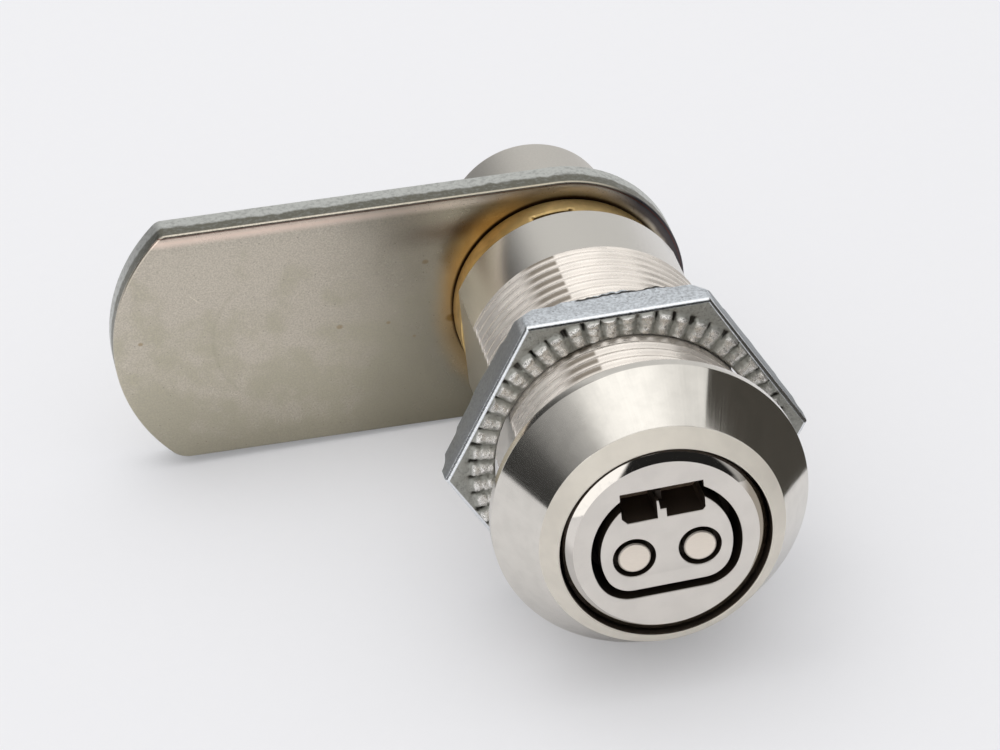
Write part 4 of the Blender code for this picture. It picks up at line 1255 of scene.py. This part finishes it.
class CAMLOCK_OT_rear_fittings(CamLockOperator, bpy.types.Operator):
    """Turn the flat washer, the split lock washer and the slotted cap nut"""

    bl_idname = "cam_lock.rear_fittings"
    bl_label = "Washers and Cap Nut"

    def execute(self, context):
        cap_finish = blasted_cap(self.colours)
        washer = Shell()
        washer.turned(self.washer_profile(WASHER_R, WASHER_Z, WASHER_BACK_Z, 0.12), even_angles(128), 0)
        washer.piece("flat_washer_plated", "turning_group", ["flat_washer"], [cap_finish])
        split = Shell()
        profile = self.washer_profile(SPLIT_R, SPLIT_Z, SPLIT_BACK_Z, 0.08)
        steps = 96
        turns = [math.radians(SPLIT_GAP_DEG / 2 + (360 - SPLIT_GAP_DEG) * index / steps)
                 for index in range(steps + 1)]
        rings = [[(radius * math.cos(angle), radius * math.sin(angle), z) for radius, z in profile[:-1]]
                 for angle in turns]
        split.skin(rings, 0)
        split.fill([rings[0]], 0)
        split.fill([rings[-1]], 0)
        split.piece("split_washer", "turning_group", ["lock_washer"],
                    [plain_steel(self.colours)])
        cap = Shell()
        profile = softened([
            (SPINDLE_HOLE_R, CAP_Z, 0), (CAP_R, CAP_Z, 0.2), (CAP_R, CAP_BACK_Z, 0.36),
            (0.0, CAP_BACK_Z, 0)], 6)
        floor_z = CAP_BACK_Z + 1.6
        for outline in (profile, [(SPINDLE_HOLE_R, CAP_Z), (SPINDLE_HOLE_R, floor_z), (0.0, floor_z)]):
            cap.turned(outline, even_angles(160), 0)
        made = cap.piece("round_cap_nut", "turning_group", ["cap_nut"], [cap_finish])
        self.slot_cap(made)
        return {"FINISHED"}

    def washer_profile(self, outer, front_z, back_z, rounding):
        return softened([
            (SPINDLE_HOLE_R, front_z, 0), (outer, front_z, rounding), (outer, back_z, rounding),
            (SPINDLE_HOLE_R, back_z, 0), (SPINDLE_HOLE_R, front_z, 0)])

    def slot_cap(self, cap):
        """Saw the driver slot across the cap nut's rear face."""
        shape = bmesh.new()
        size = Matrix.Diagonal((*[value * MM for value in DRIVER_SLOT], 1.0))
        bmesh.ops.create_cube(shape, size=1.0, matrix=Matrix.Translation((0, 0, CAP_BACK_Z * MM)) @ size)
        mesh = bpy.data.meshes.new("driver_slot")
        shape.to_mesh(mesh)
        shape.free()
        saw = linked("driver_slot", mesh)
        saw.matrix_world = cap.matrix_world
        step = cap.modifiers.new("driver_slot", "BOOLEAN")
        step.operation = "DIFFERENCE"
        step.object = saw
        bpy.context.view_layer.update()
        shown = cap.evaluated_get(bpy.context.evaluated_depsgraph_get())
        cap.data = bpy.data.meshes.new_from_object(shown)
        cap.modifiers.clear()
        bpy.data.objects.remove(saw, do_unlink=True)


class CAMLOCK_OT_inner_parts(CamLockOperator, bpy.types.Operator):
    """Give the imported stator, cross pin, tumblers, drivers and springs their finishes"""

    bl_idname = "cam_lock.inner_parts"
    bl_label = "Inner Parts"

    def execute(self, context):
        steel = plain_steel(self.colours)
        gold = brass(self.colours)
        wire = spring_wire(self.colours)
        kinds = {"stator": gold, "tumbler_pin": gold, "driver_pin": steel, "tumbler_spring": wire,
                 "stator_pin": steel}
        for name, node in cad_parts.items():
            base = name.rstrip("0123456789").rstrip("_")
            if base in kinds:
                node.data.materials.clear()
                node.data.materials.append(kinds[base])
        return {"FINISHED"}


class CAMLOCK_OT_stage(CamLockOperator, bpy.types.Operator):
    """Lay the floor, light it softly and set the camera"""

    bl_idname = "cam_lock.stage"
    bl_label = "Stage"

    def execute(self, context):
        stage = context.scene.cam_lock_stage
        self.lay_floor(stage)
        self.stand_flag()
        self.light_room(stage)
        self.hang_lamp(stage)
        self.set_camera(context.scene, stage)
        context.scene.view_settings.view_transform = "Standard"
        return {"FINISHED"}

    def lay_floor(self, stage):
        mesh = bpy.data.meshes.new("floor")
        half = stage.floor_size / 2
        mesh.from_pydata([(-half, -half, 0), (half, -half, 0), (half, half, 0), (-half, half, 0)], [],
                         [(0, 1, 2, 3)])
        floor = linked("floor", mesh)
        tilt = Vector(FLOOR_NORMAL).to_track_quat("Z", "Y").to_matrix().to_4x4()
        floor.matrix_world = Matrix.Translation(Vector(FLOOR_POINT) * MM) @ tilt
        paper = Tree(bpy.data.materials.new("pale_paper"), "ShaderNodeOutputMaterial")
        place = paper.node("ShaderNodeTexCoord", None, None, "Object")
        fibre = paper.grain(place, 900.0, 3.0)
        tint = paper.blend(fibre, tuple(stage.floor), shade(stage.floor, 0.985))
        surface = paper.node("ShaderNodeBsdfPrincipled", None, {
            "Base Color": tint, "Roughness": 0.75, "Specular IOR Level": 0.2})
        behind = paper.node("ShaderNodeNewGeometry", None, None, "Backfacing")
        seen = paper.node("ShaderNodeLightPath", None, None, "Is Camera Ray")
        glow = paper.node("ShaderNodeEmission", None, {"Color": (*stage.floor, 1.0)})
        surface = paper.node("ShaderNodeMixShader", None, {0: seen * 0.28, 1: surface, 2: glow})
        clear = paper.node("ShaderNodeBsdfTransparent")
        both = paper.node("ShaderNodeMixShader", None, {0: behind, 1: surface, 2: clear})
        paper.links.new(both.socket, paper.output.inputs["Surface"])
        mesh.materials.append(bpy.data.materials["pale_paper"])

    def stand_flag(self):
        """A dark board to the right that only reflections show."""
        mesh = bpy.data.meshes.new("right_flag")
        corners = [tuple(value * MM for value in corner) for corner in BOARD_CORNERS]
        mesh.from_pydata(corners, [], [(0, 1, 2, 3)])
        flag = linked("right_flag", mesh)
        board = Tree(bpy.data.materials.new("right_flag"), "ShaderNodeOutputMaterial")
        glow = board.node("ShaderNodeEmission", None, {"Color": (*BOARD_TINT, 1.0)})
        board.links.new(glow.socket, board.output.inputs["Surface"])
        mesh.materials.append(bpy.data.materials["right_flag"])
        flag.visible_camera = False
        flag.visible_diffuse = False
        flag.visible_shadow = False

    def light_room(self, stage):
        """The room in reflections: bright overhead and behind, a window to the front left, dark in front."""
        world = bpy.data.worlds.new("soft_room")
        bpy.context.scene.world = world
        room = Tree(world, "ShaderNodeOutputWorld")
        x, y, z = room.parts(room.node("ShaderNodeTexCoord", None, None, "Generated"))
        high = room.maths("ARCSINE", z) / (math.pi / 2)
        flat = (x ** 2.0 + y ** 2.0 + 0.000001) ** 0.5
        side, depth = x / flat, y / flat
        left, front, right, back, window = [
            room.ramp(high, stops) for stops in (ROOM_LEFT, ROOM_FRONT, ROOM_RIGHT, ROOM_BACK, ROOM_WINDOW)]
        before = room.blend(room.span(depth, -0.52, -0.42), window, left)
        before = room.blend(room.span(side, -0.34, -0.26), before, front)
        before = room.blend(room.span(side, 0.80, 0.86), before, right)
        behind = room.blend(room.span(side, 0.93, 0.975), back, right)
        behind = room.blend(room.span(side, -0.46, -0.14, 1.0, 0.0), behind, left)
        tone = room.blend(room.span(depth, 0.0, 0.1), before, behind)
        shelf = room.span(side, -0.36, -0.28, 1.0, 0.0) * room.span(side, -0.92, -0.85)
        shelf = shelf * room.span(depth, 0.2, 0.3)
        shelf = shelf * room.span(high, 0.53, 0.57) * room.span(high, 0.78, 0.82, 1.0, 0.0)
        tone = room.blend(shelf, tone, SHELF_TINT)
        tone = room.scaled(tone, room.span(high, 0.6, 0.9, 1.0, 1.45))
        above = room.maths("MAXIMUM", z, 0.0) ** 2.0
        even = room.scaled(ROOM_TINT, 0.38 + 1.22 * above)
        mirrored = room.node("ShaderNodeLightPath", None, None, "Is Glossy Ray")
        tone = room.blend(mirrored, even, tone)
        light = room.node("ShaderNodeBackground", None, {"Color": tone, "Strength": stage.dome})
        world.cycles.sampling_method = "NONE"
        room.links.new(light.socket, room.output.inputs["Surface"])

    def hang_lamp(self, stage):
        data = bpy.data.lights.new("soft_lamp", "AREA")
        data.shape = "DISK"
        data.size = LAMP_SIZE
        data.energy = stage.lamp
        lamp = linked("soft_lamp", data)
        lamp.location = LAMP_PLACE
        lamp.rotation_quaternion = Vector(lamp.location).to_track_quat("Z", "Y")
        lamp.rotation_mode = "QUATERNION"
        lamp.visible_glossy = False

    def set_camera(self, scene, stage):
        data = bpy.data.cameras.new("camera")
        data.lens = stage.lens
        data.sensor_width = 36.0
        data.sensor_fit = "HORIZONTAL"
        data.clip_start = 0.01
        data.clip_end = 20.0
        camera = linked("camera", data)
        right, up = Vector(CAMERA_RIGHT).normalized(), Vector(CAMERA_UP).normalized()
        axes = Matrix((right, up, right.cross(up))).transposed().to_4x4()
        camera.matrix_world = Matrix.Translation(Vector(CAMERA_PLACE) * MM) @ axes
        scene.camera = camera


OPERATORS = (CAMLOCK_OT_housing, CAMLOCK_OT_rotor, CAMLOCK_OT_face_pins, CAMLOCK_OT_drive_collar,
             CAMLOCK_OT_cam, CAMLOCK_OT_lock_nut, CAMLOCK_OT_rear_fittings, CAMLOCK_OT_inner_parts,
             CAMLOCK_OT_stage)
SETTINGS = {
    "cam_lock_sizes": CamLockSizes,
    "cam_lock_colours": CamLockColours,
    "cam_lock_stage": CamLockStage,
}


class CAMLOCK_PT_panel(bpy.types.Panel):
    """Lists the cam lock's pieces and settings in the sidebar"""

    bl_idname = "CAMLOCK_PT_panel"
    bl_label = "Cam Lock"
    bl_space_type = "VIEW_3D"
    bl_region_type = "UI"
    bl_category = "Cam Lock"

    def draw(self, context):
        for name, group in SETTINGS.items():
            box = self.layout.box()
            settings = getattr(context.scene, name)
            for field in group.__annotations__:
                box.prop(settings, field)
        for operator in OPERATORS:
            self.layout.operator(operator.bl_idname)


def register():
    for group in SETTINGS.values():
        bpy.utils.register_class(group)
    for name, group in SETTINGS.items():
        setattr(bpy.types.Scene, name, bpy.props.PointerProperty(type=group))
    for operator in OPERATORS:
        bpy.utils.register_class(operator)
    bpy.utils.register_class(CAMLOCK_PT_panel)


def unregister():
    bpy.utils.unregister_class(CAMLOCK_PT_panel)
    for operator in reversed(OPERATORS):
        bpy.utils.unregister_class(operator)
    for name in SETTINGS:
        delattr(bpy.types.Scene, name)
    for group in SETTINGS.values():
        bpy.utils.unregister_class(group)


def main():
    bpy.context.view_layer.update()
    register()
    bpy.ops.cam_lock.housing()
    bpy.ops.cam_lock.rotor()
    bpy.ops.cam_lock.face_pins()
    bpy.ops.cam_lock.drive_collar()
    bpy.ops.cam_lock.cam()
    bpy.ops.cam_lock.lock_nut()
    bpy.ops.cam_lock.rear_fittings()
    bpy.ops.cam_lock.inner_parts()
    bpy.ops.cam_lock.stage()


if __name__ == "__main__":
    main()
